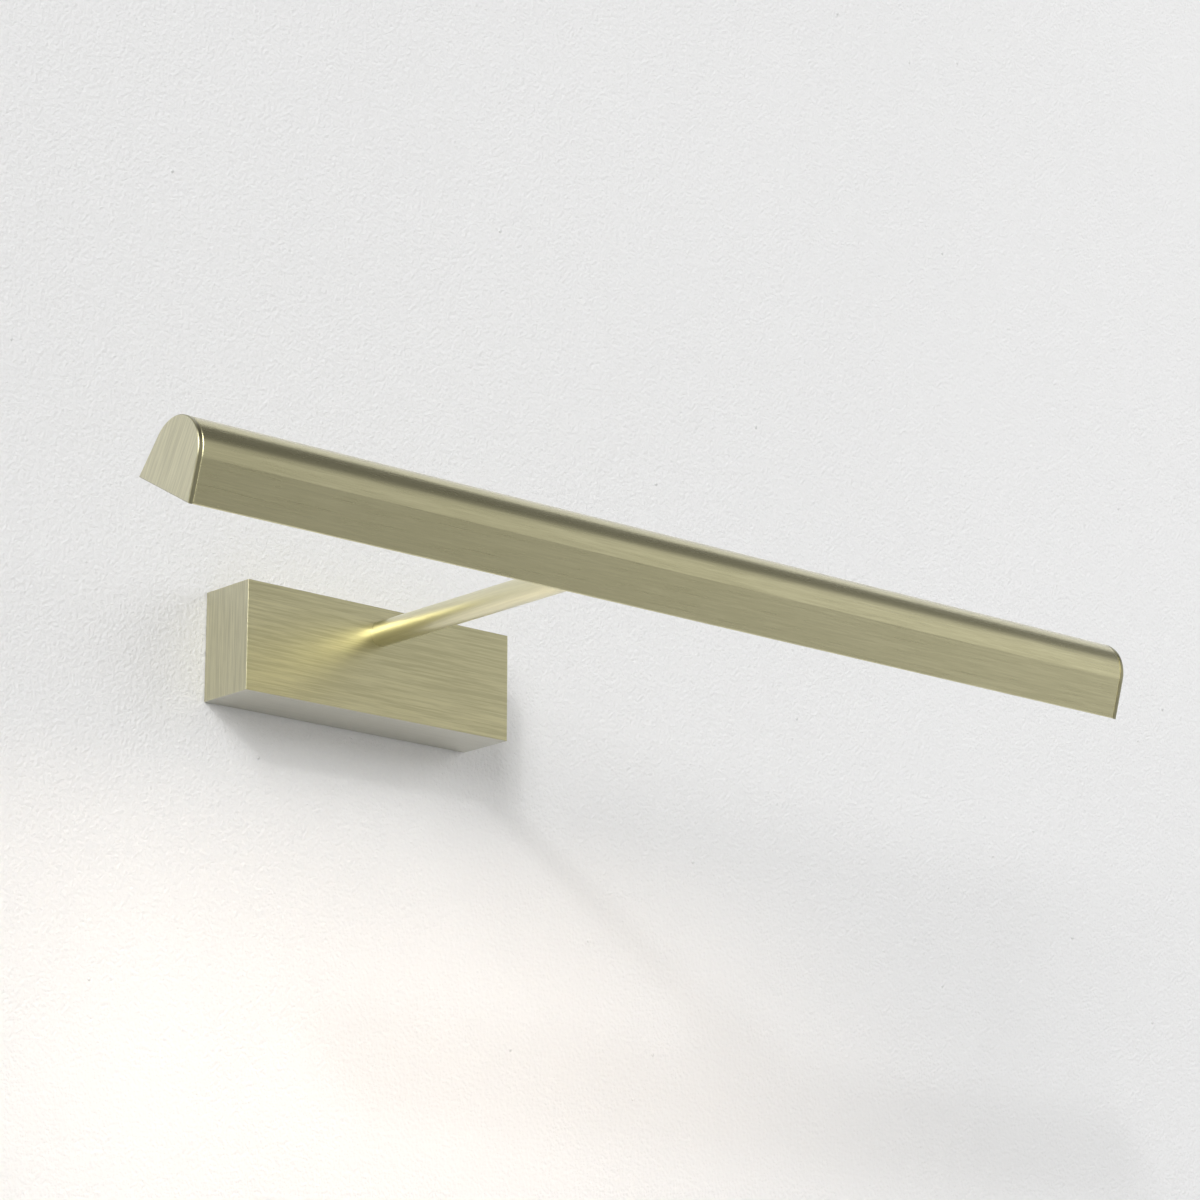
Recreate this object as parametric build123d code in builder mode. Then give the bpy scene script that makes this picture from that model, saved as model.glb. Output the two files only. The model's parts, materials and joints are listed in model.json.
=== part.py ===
from build123d import *
import os
from math import cos, radians, sin, tan

# Wall-mounted picture light: a wall box with the driver in it, a straight arm, and a long
# arched head with a row of LEDs that tilts on a friction pivot at the arm's end.
#
# Millimetres. X runs along the head, Z is up and the wall is the plane Y = 0, with the light
# on its -Y side. The origin is the centre of the wall box's open back, on the wall.
# The head is built as it hangs at rest, leaning by REST_TILT.

# Fits between pieces
RUN = 0.05        # gap between pieces that turn against each other
SEAT = 0.02       # gap between pieces that are screwed or pushed together
THREAD = 0.02     # threads are plain cylinders, their holes this much larger

# Wall box
BOX_W = 116.0
BOX_H = 39.0
BOX_D = 24.0
BOX_WALL = 1.2
BOX_EDGE_R = 0.15
BOX_IN_FRONT = BOX_D - BOX_WALL      # depth of the cover's inner front face

# Back plate, which is screwed to the wall and carries the cover on two ears
PLATE_W = 113.0
PLATE_H = 36.2
PLATE_T = 1.5
SLOT_X = 46.0
SLOT_L = 9.0
SLOT_R = 2.25
EAR_X = 48.0
EAR_W = 12.0
EAR_D = 14.0
COVER_SCREW_Y = -8.0
M3_R = 1.5
M3_HEAD_R = 2.75
M3_HEAD_T = 1.6
M3_CLEAR_R = 1.65
DRIVE_R = 1.15       # across-corner radius of a small hex socket
DRIVE_DEPTH = 1.0

# Cable entry and its bush
ENTRY_X = 38.0
ENTRY_Z = 9.5
ENTRY_R = 5.0
CABLE_R = 3.75
COLLAR_R = 6.5
COLLAR_T = 2.0

# Terminal block: three poles stacked in Z, wires entering along X
BLOCK_X = 18.0
BLOCK_Z = 10.0
BLOCK_W = 16.0
BLOCK_H = 15.0
BLOCK_D = 11.5
BLOCK_CHAMFER = 0.8
POLE_PITCH = 5.0
POLE_Y = -7.0
SLEEVE = 3.2
SLEEVE_L = 14.0
SLEEVE_BORE_R = 1.1
CLAMP_X = 4.0        # clamp screws either side of a pole's centre
CLAMP_R = 1.25
CLAMP_WELL_R = 1.5
CLAMP_SUNK = 0.8     # clamp screws' heads below the block's front, and their slots' depth
CLAMP_SLOT = 0.42
PEG_R = 1.2
PEG_X = 5.0
PEG_Z = 5.0

# Earth stud on the back plate
STUD_X = -38.0
STUD_Z = 10.0
STUD_R = 2.0
STUD_L = 9.0
STUD_CHAMFER = 0.4
TAG_T = 0.8
TAG_R = 4.2
TAG_BARREL_R = 1.45
TAG_BARREL_L = 6.0
EARTH_WASHER_T = 0.8
EARTH_NUT_AF = 7.0
EARTH_NUT_T = 3.2

# Driver: a plastic case with a circuit board in it
DRIVER_W = 62.0
DRIVER_H = 18.0
DRIVER_Z = -8.0
DRIVER_WALL = 1.2
DRIVER_SPLIT = 11.0      # depth where the lid meets the base
DRIVER_FRONT = 19.5
LUG_X = 35.0
LUG_W = 8.6
LUG_T = 2.0
POST = 3.0
POST_T = 1.0
CIRCUIT_T = 1.6
CIRCUIT_GAP = 0.4        # between the circuit board and the case's walls
LIP_T = 0.8
LIP_D = 1.5

# Arm
ARM_Z = 10.0             # axis above the box's centre
ARM_R = 4.55
ARM_BORE_R = 3.0
ROOT_R = 4.0             # threaded root that goes through the box's front
ROOT_L = 10.0
NUT_AF = 13.0
NUT_T = 4.0
ARM_PLATE_W = 30.0
ARM_PLATE_H = 15.0
ARM_PLATE_T = 1.5
LOCK_R = 7.0
LOCK_T = 0.8
BUSH_FLANGE_T = 1.0
BUSH_L = 4.0

# Pivot at the arm's end, about an axis along X
PIVOT_Y = -162.0
EYE_R = 6.0
EYE_W = 16.0
NECK_L = 8.0
SPIGOT_L = 10.0
SPIGOT_BORE_R = 1.9
EYE_CHAMFER = 0.3
CHAMBER_R = 4.0          # chamber inside the eye, where the lead turns
CHAMBER_HALF = 3.8
PIN_THREAD_R = 2.5
PIN_R = 2.8              # shoulder that an ear turns on
PIN_TIP_X = 4.4
PIN_HEAD_R = 4.0
PIN_HEAD_T = 2.4
PIN_HEAD_CHAMFER = 0.4
PIN_DRIVE_R = 1.9
PIN_DRIVE_DEPTH = 1.6
SPANNER_W = 1.0          # slot for a pin spanner across the hollow pivot's flange
FLANGE_T = 1.05
HOLLOW_R = 1.6
WASHER_T = 0.5
WASHER_R = 5.4
EAR_IN = EYE_W / 2 + WASHER_T + 2 * RUN      # inner face of each fork ear
EAR_T = 3.4
EAR_OUT = EAR_IN + EAR_T
PIN_SEAT_X = EAR_OUT + RUN + WASHER_T        # under the pin heads

# Leads
LEAD_R = 1.2
LEAD_HOLE_R = 1.3
WIRE_R = 0.9
WIRE_HOLE_R = 1.0
JOINT_X = 9.0            # where the two leads meet, on the pivot's axis
PIVOT_BEND = 3.2
LEAD_Y = -6.6            # the lead's drop into the driver
ROOT_BEND = 6.0
LEAD_REACH = 5.0         # length of lead inside the driver's case
WIRE_REACH = 2.4         # length of wire inside a pole of the terminal block
SOLDER_DROP = 4.0        # length of wire inside the driver's case
NEUTRAL_X = 4.2
LIVE_X = 7.2
NEUTRAL_BEND = 2.5
LIVE_BEND = 2.6
EARTH_TURN_X = -10.0     # where the earth wire leaves its straight run
EARTH_STRAIGHT_X = -20.0     # and where it lines up with its tag
EARTH_BENDS = [8.0, 6.0]
TAG_REACH = 2.0

# Head: an arched section, round on top, with flat sides that flare
HEAD_L = 400.0
HEAD_H = 22.9
HEAD_R = 11.7
FLARE = 12.15            # lean of each flat side, degrees
REST_TILT = 28.5         # lean of the whole head at rest, degrees
PIVOT_BACK = 21.5        # pivot from the middle of the opening, towards the wall
PIVOT_UP = 12.8          # and above it, both in the head's own directions
SHADE_WALL = 1.3
SHADE_CHAMFER = 0.35
CAP_T = 1.5
CAP_CHAMFER = 0.25
PLUG_L = 3.0
PLUG_LOW = 4.6
PLUG_HIGH = 11.8
PLUG_GAP = 0.2
SHADE_L = HEAD_L - 2 * CAP_T
ARC_UP = HEAD_H - HEAD_R

# Ribs inside the shade: (lower edge, upper edge, how far they stand out from the wall)
BOTTOM_LIP = (0.0, 1.2, 2.0)
DIFFUSER_RIB = (3.4, 4.2, 1.4)
CARRIER_LEDGE = (12.2, 13.0, 2.4)

# Light source and diffuser
DIFFUSER_T = 2.0
DIFFUSER_GAP = 0.05
DIFFUSER_W = 24.4
CARRIER_W = 18.8
CARRIER_T = 1.8
CARRIER_L = 392.0
BOARD_W = 12.0
BOARD_T = 1.2
BOARD_L = 380.0
CHIP_L = 3.5
CHIP_W = 2.8
CHIP_T = 0.7
CHIP_PITCH = 12.0
CHIP_COUNT = 31
BOARD_SCREW_X = (-150.0, -54.0, 54.0, 150.0)
BOARD_SCREW_Y = 4.2
M2_R = 1.0
M2_HEAD_R = 1.7
M2_HEAD_T = 0.9
M2_DRIVE_R = 0.8
PLUG_SOCKET_L = 6.0
PLUG_SOCKET_W = 3.8
PLUG_SOCKET_T = 4.0
PLUG_SOCKET_DEPTH = 1.6

# Fork on the head's rear side
FOOT_W = 53.0
FOOT_T = 2.5
FOOT_TOP = 2.6           # above the line through the pivot
FOOT_LOW = 8.6           # below it
FORK_SCREW_X = 22.5
FORK_SCREW_DOWN = 3.0
CSK_HEAD_R = 2.9
CSK_GAP = 0.03
FORK_SCREW_PROUD = 0.8   # beyond the backing plate
INNER_PLATE_W = 54.0
INNER_PLATE_T = 1.5
INNER_PLATE_TOP = 1.0
INNER_PLATE_LOW = 5.9
COVER_T = 6.6            # wire cover on the outside of the right ear
COVER_FILLET = 0.8
GROOVE = 1.7
GROOVE_DEPTH = 5.4
POCKET_R = 4.4
POCKET_DEPTH = 2.0
COVER_SCREW_N = 5.0      # wire cover's screw, from the flat and below the pivot line
COVER_SCREW_DOWN = 5.2
COVER_SCREW_HEAD_R = 1.9
COVER_SCREW_REACH = 2.6
LEAD_X = EAR_OUT + 0.6 + PIVOT_BEND
SLEEVE_OUT_R = 2.2
SLEEVE_FLANGE_R = 3.0
SLEEVE_FLANGE_T = 0.8

# Directions and planes of the head at rest
TILT = radians(REST_TILT)
LEAN = radians(FLARE)
BACK = Vector(0, cos(TILT), sin(TILT))
UP = Vector(0, -sin(TILT), cos(TILT))
PIVOT = Vector(0, PIVOT_Y, ARM_Z)
HEAD_BASE = PIVOT - BACK * PIVOT_BACK - UP * PIVOT_UP      # middle of the opening
SECTION = Plane(origin=HEAD_BASE, x_dir=BACK, z_dir=(1, 0, 0))     # x to the wall, y up
LEVEL = Plane(origin=HEAD_BASE, x_dir=(1, 0, 0), z_dir=UP)         # x along the head

# Outward normal of the rear flat side
NORMAL = BACK * cos(LEAN) + UP * sin(LEAN)


def foot_half(inset):
    """Half width of the head's section at its opening, for an outline moved inwards by inset."""
    radius = HEAD_R - inset
    return radius * cos(LEAN) + (ARC_UP + radius * sin(LEAN)) * tan(LEAN)


def half_at(up, inset):
    """Half width of the section on its flat sides, at a height above the opening."""
    return foot_half(inset) - up * tan(LEAN)


# Pivot's height off the rear flat side, the foot of that perpendicular, and planes through it
PIVOT_OFF = (PIVOT_BACK - foot_half(0)) * cos(LEAN) + PIVOT_UP * sin(LEAN)
FLAT_FOOT = PIVOT - NORMAL * PIVOT_OFF
FLAT = Plane(origin=FLAT_FOOT, x_dir=(1, 0, 0), z_dir=NORMAL)      # local y runs down the flat
SIDE = Plane(origin=FLAT_FOOT, x_dir=NORMAL, z_dir=(1, 0, 0))      # x off the flat, y up it
PIN = Plane(origin=PIVOT, x_dir=(0, 1, 0), z_dir=(1, 0, 0))

# Planes parallel to the wall, facing forwards: offset(d) lies at Y = -d
ARM = Plane(origin=(0, 0, ARM_Z), x_dir=(1, 0, 0), z_dir=(0, -1, 0))
EARTH = Plane(origin=(STUD_X, 0, STUD_Z), x_dir=(1, 0, 0), z_dir=(0, -1, 0))
DRIVER = Plane(origin=(0, 0, DRIVER_Z), x_dir=(1, 0, 0), z_dir=(0, -1, 0))

os.makedirs("parts", exist_ok=True)


def arch(inset):
    """The head's section: a round top and two flat sides that flare, moved inwards by inset."""
    radius = HEAD_R - inset
    shoulder_x = radius * cos(LEAN)
    shoulder_y = ARC_UP + radius * sin(LEAN)
    foot_x = foot_half(inset)
    with BuildSketch() as outline:
        with BuildLine():
            Line((-foot_x, 0), (-shoulder_x, shoulder_y))
            ThreePointArc((-shoulder_x, shoulder_y), (0, ARC_UP + radius), (shoulder_x, shoulder_y))
            Line((shoulder_x, shoulder_y), (foot_x, 0))
            Line((foot_x, 0), (-foot_x, 0))
        make_face()
    return outline.sketch


def rib_place(rib):
    """Centre, width and height of a rib that runs from inside the wall to its inner edge."""
    low, high, reach = rib
    wall = half_at(low, SHADE_WALL)
    inner, outer = wall - reach, wall + SHADE_WALL / 3
    return (inner + outer) / 2, (low + high) / 2, outer - inner, high - low


def ear_outline():
    """Side of a fork ear: a round eye about the pivot, running down to the foot on the flat."""
    with BuildSketch() as outline:
        with Locations((PIVOT_OFF, 0)):
            Circle(EYE_R)
        with Locations((FOOT_T / 2, (FOOT_TOP - FOOT_LOW) / 2)):
            Rectangle(FOOT_T, FOOT_TOP + FOOT_LOW)
        make_hull()
    return outline.sketch


def route(points, bends):
    """A lead's path: straight runs joined by tangent arcs."""
    with BuildLine() as path:
        FilletPolyline(*points, radius=bends)
    return path.line


# ---------------------------------------------------------------- wall box

with BuildPart() as back_plate:
    with BuildSketch(Plane.XZ):
        Rectangle(PLATE_W, PLATE_H)
        with Locations((-SLOT_X, 0), (SLOT_X, 0)):
            SlotOverall(SLOT_L, 2 * SLOT_R, mode=Mode.SUBTRACT)
        with Locations((ENTRY_X, ENTRY_Z)):
            Circle(ENTRY_R, mode=Mode.SUBTRACT)
        with Locations((-LUG_X, DRIVER_Z), (LUG_X, DRIVER_Z)):
            Circle(M3_R + THREAD, mode=Mode.SUBTRACT)
        with Locations((BLOCK_X - PEG_X, BLOCK_Z - PEG_Z), (BLOCK_X + PEG_X, BLOCK_Z + PEG_Z)):
            Circle(PEG_R + SEAT, mode=Mode.SUBTRACT)
    extrude(amount=PLATE_T)
    # Two ears bent forwards at the top edge, tapped for the cover's screws
    with BuildSketch(Plane.XZ.offset(PLATE_T)):
        with Locations((-EAR_X, (PLATE_H - PLATE_T) / 2), (EAR_X, (PLATE_H - PLATE_T) / 2)):
            Rectangle(EAR_W, PLATE_T)
    extrude(amount=EAR_D - PLATE_T)
    with BuildSketch(Plane.XY.offset(PLATE_H / 2)):
        with Locations((-EAR_X, COVER_SCREW_Y), (EAR_X, COVER_SCREW_Y)):
            Circle(M3_R + THREAD)
    extrude(amount=-PLATE_T, mode=Mode.SUBTRACT)
back_plate.part.label = "back_plate"
export_step(back_plate.part, "parts/back_plate.step")

with BuildPart() as wall_box_cover:
    with BuildSketch(Plane.XZ):
        Rectangle(BOX_W, BOX_H)
    extrude(amount=BOX_D)
    fillet(wall_box_cover.edges().filter_by(lambda e: e.center().Y < -SEAT), BOX_EDGE_R)
    with BuildSketch(Plane.XZ):
        Rectangle(BOX_W - 2 * BOX_WALL, BOX_H - 2 * BOX_WALL)
    extrude(amount=BOX_IN_FRONT, mode=Mode.SUBTRACT)
    with BuildSketch(ARM.offset(BOX_D)):
        Circle(ROOT_R + RUN)
    extrude(amount=-BOX_WALL, mode=Mode.SUBTRACT)
    with BuildSketch(Plane.XY.offset(BOX_H / 2)):
        with Locations((-EAR_X, COVER_SCREW_Y), (EAR_X, COVER_SCREW_Y)):
            Circle(M3_CLEAR_R)
    extrude(amount=-BOX_WALL, mode=Mode.SUBTRACT)
wall_box_cover.part.label = "wall_box_cover"
export_step(wall_box_cover.part, "parts/wall_box_cover.step")

with BuildPart() as cover_screws:
    with BuildSketch(Plane.XY.offset(BOX_H / 2)):
        with Locations((-EAR_X, COVER_SCREW_Y), (EAR_X, COVER_SCREW_Y)):
            Circle(M3_HEAD_R)
    extrude(amount=M3_HEAD_T)
    fillet(cover_screws.edges().group_by(Axis.Z)[-1], M3_HEAD_T / 2)
    with BuildSketch(Plane.XY.offset(BOX_H / 2)):
        with Locations((-EAR_X, COVER_SCREW_Y), (EAR_X, COVER_SCREW_Y)):
            Circle(M3_R)
    extrude(amount=-(BOX_H - PLATE_H) / 2 - 2 * PLATE_T)
    with BuildSketch(Plane.XY.offset(BOX_H / 2 + M3_HEAD_T)):
        with Locations((-EAR_X, COVER_SCREW_Y), (EAR_X, COVER_SCREW_Y)):
            RegularPolygon(DRIVE_R, 6)
    extrude(amount=-DRIVE_DEPTH, mode=Mode.SUBTRACT)
cover_screws.part.label = "cover_screws"
export_step(cover_screws.part, "parts/cover_screws.step")

with BuildPart() as cable_bush:
    with BuildSketch(Plane.XZ):
        with Locations((ENTRY_X, ENTRY_Z)):
            Circle(ENTRY_R - SEAT)
    extrude(amount=PLATE_T)
    with BuildSketch(Plane.XZ.offset(PLATE_T)):
        with Locations((ENTRY_X, ENTRY_Z)):
            Circle(COLLAR_R)
    extrude(amount=COLLAR_T)
    fillet(cable_bush.edges().group_by(Axis.Y)[0], COLLAR_T / 2)
    with BuildSketch(Plane.XZ):
        with Locations((ENTRY_X, ENTRY_Z)):
            Circle(CABLE_R)
    extrude(amount=PLATE_T + COLLAR_T, mode=Mode.SUBTRACT)
cable_bush.part.label = "cable_bush"
export_step(cable_bush.part, "parts/cable_bush.step")

# ---------------------------------------------------------------- terminal block

POLES = (BLOCK_Z - POLE_PITCH, BLOCK_Z, BLOCK_Z + POLE_PITCH)      # live, neutral, earth
CLAMPS = [(BLOCK_X + side * CLAMP_X, z) for z in POLES for side in (-1, 1)]
BLOCK_LEFT = BLOCK_X - BLOCK_W / 2
POLE_END = Plane.YZ.offset(BLOCK_LEFT)      # local x is Y, local y is Z
BLOCK_FRONT = PLATE_T + BLOCK_D
SLEEVE_FRONT = -POLE_Y + SLEEVE / 2

with BuildPart() as terminal_block:
    with BuildSketch(Plane.XZ.offset(PLATE_T)):
        with Locations((BLOCK_X, BLOCK_Z)):
            Rectangle(BLOCK_W, BLOCK_H)
    extrude(amount=BLOCK_D)
    chamfer(terminal_block.edges().group_by(Axis.Y)[0], BLOCK_CHAMFER)
    with BuildSketch(Plane.XZ.offset(PLATE_T)):
        with Locations((BLOCK_X - PEG_X, BLOCK_Z - PEG_Z), (BLOCK_X + PEG_X, BLOCK_Z + PEG_Z)):
            Circle(PEG_R)
    extrude(amount=-PLATE_T)
    with BuildSketch(POLE_END):
        with Locations([(POLE_Y, z) for z in POLES]):
            Circle(WIRE_HOLE_R)
    extrude(amount=BLOCK_W, mode=Mode.SUBTRACT)
    with BuildSketch(POLE_END.offset((BLOCK_W - SLEEVE_L) / 2)):
        with Locations([(POLE_Y, z) for z in POLES]):
            Rectangle(SLEEVE + 2 * SEAT, SLEEVE + 2 * SEAT)
    extrude(amount=SLEEVE_L, mode=Mode.SUBTRACT)
    with BuildSketch(Plane.XZ.offset(BLOCK_FRONT)):
        with Locations(CLAMPS):
            Circle(CLAMP_WELL_R)
    extrude(amount=SLEEVE_FRONT - BLOCK_FRONT, mode=Mode.SUBTRACT)
terminal_block.part.label = "terminal_block"
export_step(terminal_block.part, "parts/terminal_block.step")

with BuildPart() as terminal_clamps:
    with BuildSketch(POLE_END.offset((BLOCK_W - SLEEVE_L) / 2)):
        with Locations([(POLE_Y, z) for z in POLES]):
            Rectangle(SLEEVE, SLEEVE)
            Circle(SLEEVE_BORE_R, mode=Mode.SUBTRACT)
    extrude(amount=SLEEVE_L)
    with BuildSketch(Plane.XZ.offset(SLEEVE_FRONT)):
        with Locations(CLAMPS):
            Circle(CLAMP_R + THREAD)
    extrude(amount=-SLEEVE / 2, mode=Mode.SUBTRACT)
terminal_clamps.part.label = "terminal_clamps"
export_step(terminal_clamps.part, "parts/terminal_clamps.step")

CLAMP_TIP = -POLE_Y + SLEEVE_BORE_R / 2
CLAMP_HEAD = BLOCK_FRONT - CLAMP_SUNK

with BuildPart() as terminal_screws:
    with BuildSketch(Plane.XZ.offset(CLAMP_TIP)):
        with Locations(CLAMPS):
            Circle(CLAMP_R)
    extrude(amount=CLAMP_HEAD - CLAMP_TIP)
    with BuildSketch(Plane.XZ.offset(CLAMP_HEAD)):
        with Locations(CLAMPS):
            Rectangle(2 * CLAMP_R, CLAMP_SLOT)
    extrude(amount=-CLAMP_SUNK, mode=Mode.SUBTRACT)
terminal_screws.part.label = "terminal_screws"
export_step(terminal_screws.part, "parts/terminal_screws.step")

# ---------------------------------------------------------------- earth stud

TAG_AXIS_Y = -(PLATE_T + TAG_BARREL_R + SEAT)
TAG_START = STUD_X + TAG_R
TAG_END = TAG_START + TAG_BARREL_L

with BuildPart() as earth_stud:
    with BuildSketch(EARTH.offset(PLATE_T)):
        Circle(STUD_R)
    extrude(amount=STUD_L)
    chamfer(earth_stud.edges().group_by(Axis.Y)[0], STUD_CHAMFER)
earth_stud.part.label = "earth_stud"
export_step(earth_stud.part, "parts/earth_stud.step")

with BuildPart() as earth_tag:
    with BuildSketch(EARTH.offset(PLATE_T)):
        Circle(TAG_R)
        with Locations((TAG_R, 0)):
            Rectangle(2 * TAG_R, 2 * TAG_BARREL_R)
        Circle(STUD_R + RUN, mode=Mode.SUBTRACT)
    extrude(amount=TAG_T)
    with BuildSketch(Plane.YZ.offset(TAG_START)):
        with Locations((TAG_AXIS_Y, STUD_Z)):
            Circle(TAG_BARREL_R)
    extrude(amount=TAG_BARREL_L)
    with BuildSketch(Plane.YZ.offset(TAG_START)):
        with Locations((TAG_AXIS_Y, STUD_Z)):
            Circle(WIRE_R + SEAT)
    extrude(amount=2 * TAG_BARREL_L, mode=Mode.SUBTRACT)
earth_tag.part.label = "earth_tag"
export_step(earth_tag.part, "parts/earth_tag.step")

with BuildPart() as earth_washer:
    with BuildSketch(EARTH.offset(PLATE_T + TAG_T)):
        Circle(TAG_R - SEAT)
        Circle(STUD_R + RUN, mode=Mode.SUBTRACT)
    extrude(amount=EARTH_WASHER_T)
earth_washer.part.label = "earth_washer"
export_step(earth_washer.part, "parts/earth_washer.step")

with BuildPart() as earth_nut:
    with BuildSketch(EARTH.offset(PLATE_T + TAG_T + EARTH_WASHER_T)):
        RegularPolygon(EARTH_NUT_AF / 2, 6, major_radius=False)
        Circle(STUD_R + THREAD, mode=Mode.SUBTRACT)
    extrude(amount=EARTH_NUT_T)
earth_nut.part.label = "earth_nut"
export_step(earth_nut.part, "parts/earth_nut.step")

# ---------------------------------------------------------------- driver

DRIVER_TOP = DRIVER_Z + DRIVER_H / 2
WELL_W = DRIVER_W - 2 * DRIVER_WALL
WELL_H = DRIVER_H - 2 * DRIVER_WALL
FLOOR = PLATE_T + DRIVER_WALL
CIRCUIT_Y = FLOOR + POST_T
COMPONENT_Y = CIRCUIT_Y + CIRCUIT_T

with BuildPart() as driver_case_base:
    with BuildSketch(DRIVER.offset(PLATE_T)):
        Rectangle(DRIVER_W, DRIVER_H)
    extrude(amount=DRIVER_SPLIT - PLATE_T)
    with BuildSketch(DRIVER.offset(FLOOR)):
        Rectangle(WELL_W, WELL_H)
    extrude(amount=DRIVER_SPLIT - FLOOR, mode=Mode.SUBTRACT)
    # Fixing lugs at the ends, and posts that carry the circuit board
    with BuildSketch(DRIVER.offset(PLATE_T)):
        with Locations((-LUG_X, 0), (LUG_X, 0)):
            Rectangle(LUG_W, LUG_W)
            Circle(M3_CLEAR_R, mode=Mode.SUBTRACT)
    extrude(amount=LUG_T)
    with BuildSketch(DRIVER.offset(FLOOR)):
        with GridLocations(WELL_W - POST, WELL_H - POST, 2, 2):
            Rectangle(POST, POST)
    extrude(amount=POST_T)
    with BuildSketch(Plane.XY.offset(DRIVER_TOP)):
        with Locations((0, LEAD_Y)):
            Circle(LEAD_HOLE_R)
        with Locations((NEUTRAL_X, POLE_Y), (LIVE_X, POLE_Y)):
            Circle(WIRE_HOLE_R)
    extrude(amount=-DRIVER_WALL, mode=Mode.SUBTRACT)
driver_case_base.part.label = "driver_case_base"
export_step(driver_case_base.part, "parts/driver_case_base.step")

with BuildPart() as driver_case_lid:
    with BuildSketch(DRIVER.offset(DRIVER_SPLIT)):
        Rectangle(DRIVER_W, DRIVER_H)
    extrude(amount=DRIVER_FRONT - DRIVER_SPLIT)
    fillet(driver_case_lid.edges().group_by(Axis.Y)[0], DRIVER_WALL / 2)
    with BuildSketch(DRIVER.offset(DRIVER_SPLIT - LIP_D)):
        Rectangle(WELL_W - 2 * SEAT, WELL_H - 2 * SEAT)
    extrude(amount=LIP_D)
    with BuildSketch(DRIVER.offset(DRIVER_SPLIT - LIP_D)):
        Rectangle(WELL_W - 2 * LIP_T, WELL_H - 2 * LIP_T)
    extrude(amount=DRIVER_FRONT - DRIVER_SPLIT + LIP_D - DRIVER_WALL, mode=Mode.SUBTRACT)
driver_case_lid.part.label = "driver_case_lid"
export_step(driver_case_lid.part, "parts/driver_case_lid.step")

with BuildPart() as driver_circuit_board:
    with BuildSketch(DRIVER.offset(CIRCUIT_Y)):
        Rectangle(WELL_W - 2 * CIRCUIT_GAP, WELL_H - 2 * CIRCUIT_GAP)
    extrude(amount=CIRCUIT_T)
driver_circuit_board.part.label = "driver_circuit_board"
export_step(driver_circuit_board.part, "parts/driver_circuit_board.step")

# Transformer: a ferrite core with two windows, and the winding round its middle leg
CORE_X = -18.0
CORE_W = 14.0
CORE_H = 8.0
CORE_D = 10.0
LEG_W = 4.0
WINDOW_W = 3.0
WINDOW_D = 6.0
COIL_W = 9.6
COIL_H = 12.8
COIL_D = 5.8
CORE_MID_Y = -(COMPONENT_Y + CORE_D / 2)

with BuildPart() as transformer_core:
    with BuildSketch(Plane.XY.offset(DRIVER_Z - CORE_H / 2)):
        with Locations((CORE_X, CORE_MID_Y)):
            Rectangle(CORE_W, CORE_D)
        window_x = (LEG_W + WINDOW_W) / 2
        with Locations((CORE_X - window_x, CORE_MID_Y), (CORE_X + window_x, CORE_MID_Y)):
            Rectangle(WINDOW_W, WINDOW_D, mode=Mode.SUBTRACT)
    extrude(amount=CORE_H)
transformer_core.part.label = "transformer_core"
export_step(transformer_core.part, "parts/transformer_core.step")

with BuildPart() as transformer_winding:
    with BuildSketch(DRIVER.offset(-CORE_MID_Y - COIL_D / 2)):
        with Locations((CORE_X, 0)):
            RectangleRounded(COIL_W, COIL_H, LEG_W / 2)
            Rectangle(LEG_W + 2 * RUN, CORE_H + 2 * RUN, mode=Mode.SUBTRACT)
    extrude(amount=COIL_D)
transformer_winding.part.label = "transformer_winding"
export_step(transformer_winding.part, "parts/transformer_winding.step")

# Electrolytic capacitors: (x, radius, height)
CAPACITORS = ((16.0, 5.0, 12.0), (25.0, 3.0, 10.0))

with BuildPart() as driver_capacitors:
    for cap_x, cap_r, cap_h in CAPACITORS:
        with BuildSketch(DRIVER.offset(COMPONENT_Y)):
            with Locations((cap_x, 0)):
                Circle(cap_r)
        extrude(amount=cap_h)
driver_capacitors.part.label = "driver_capacitors"
export_step(driver_capacitors.part, "parts/driver_capacitors.step")

with BuildPart() as driver_screws:
    with BuildSketch(DRIVER.offset(PLATE_T + LUG_T)):
        with Locations((-LUG_X, 0), (LUG_X, 0)):
            Circle(M3_HEAD_R)
    extrude(amount=M3_HEAD_T)
    fillet(driver_screws.edges().group_by(Axis.Y)[0], M3_HEAD_T / 2)
    with BuildSketch(DRIVER.offset(PLATE_T + LUG_T)):
        with Locations((-LUG_X, 0), (LUG_X, 0)):
            Circle(M3_R)
    extrude(amount=-(PLATE_T + LUG_T))
    with BuildSketch(DRIVER.offset(PLATE_T + LUG_T + M3_HEAD_T)):
        with Locations((-LUG_X, 0), (LUG_X, 0)):
            RegularPolygon(DRIVE_R, 6)
    extrude(amount=-DRIVE_DEPTH, mode=Mode.SUBTRACT)
driver_screws.part.label = "driver_screws"
export_step(driver_screws.part, "parts/driver_screws.step")

# ---------------------------------------------------------------- wires in the box

WIRE_START = BLOCK_LEFT + WIRE_REACH
WIRE_END_Z = DRIVER_TOP - SOLDER_DROP

with BuildPart() as live_wire:
    live_route = route(
        [(WIRE_START, POLE_Y, POLES[0]), (LIVE_X, POLE_Y, POLES[0]), (LIVE_X, POLE_Y, WIRE_END_Z)],
        LIVE_BEND,
    )
    with BuildSketch(Plane(origin=live_route @ 0, z_dir=live_route % 0)):
        Circle(WIRE_R)
    sweep(path=live_route)
live_wire.part.label = "live_wire"
export_step(live_wire.part, "parts/live_wire.step")

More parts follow.
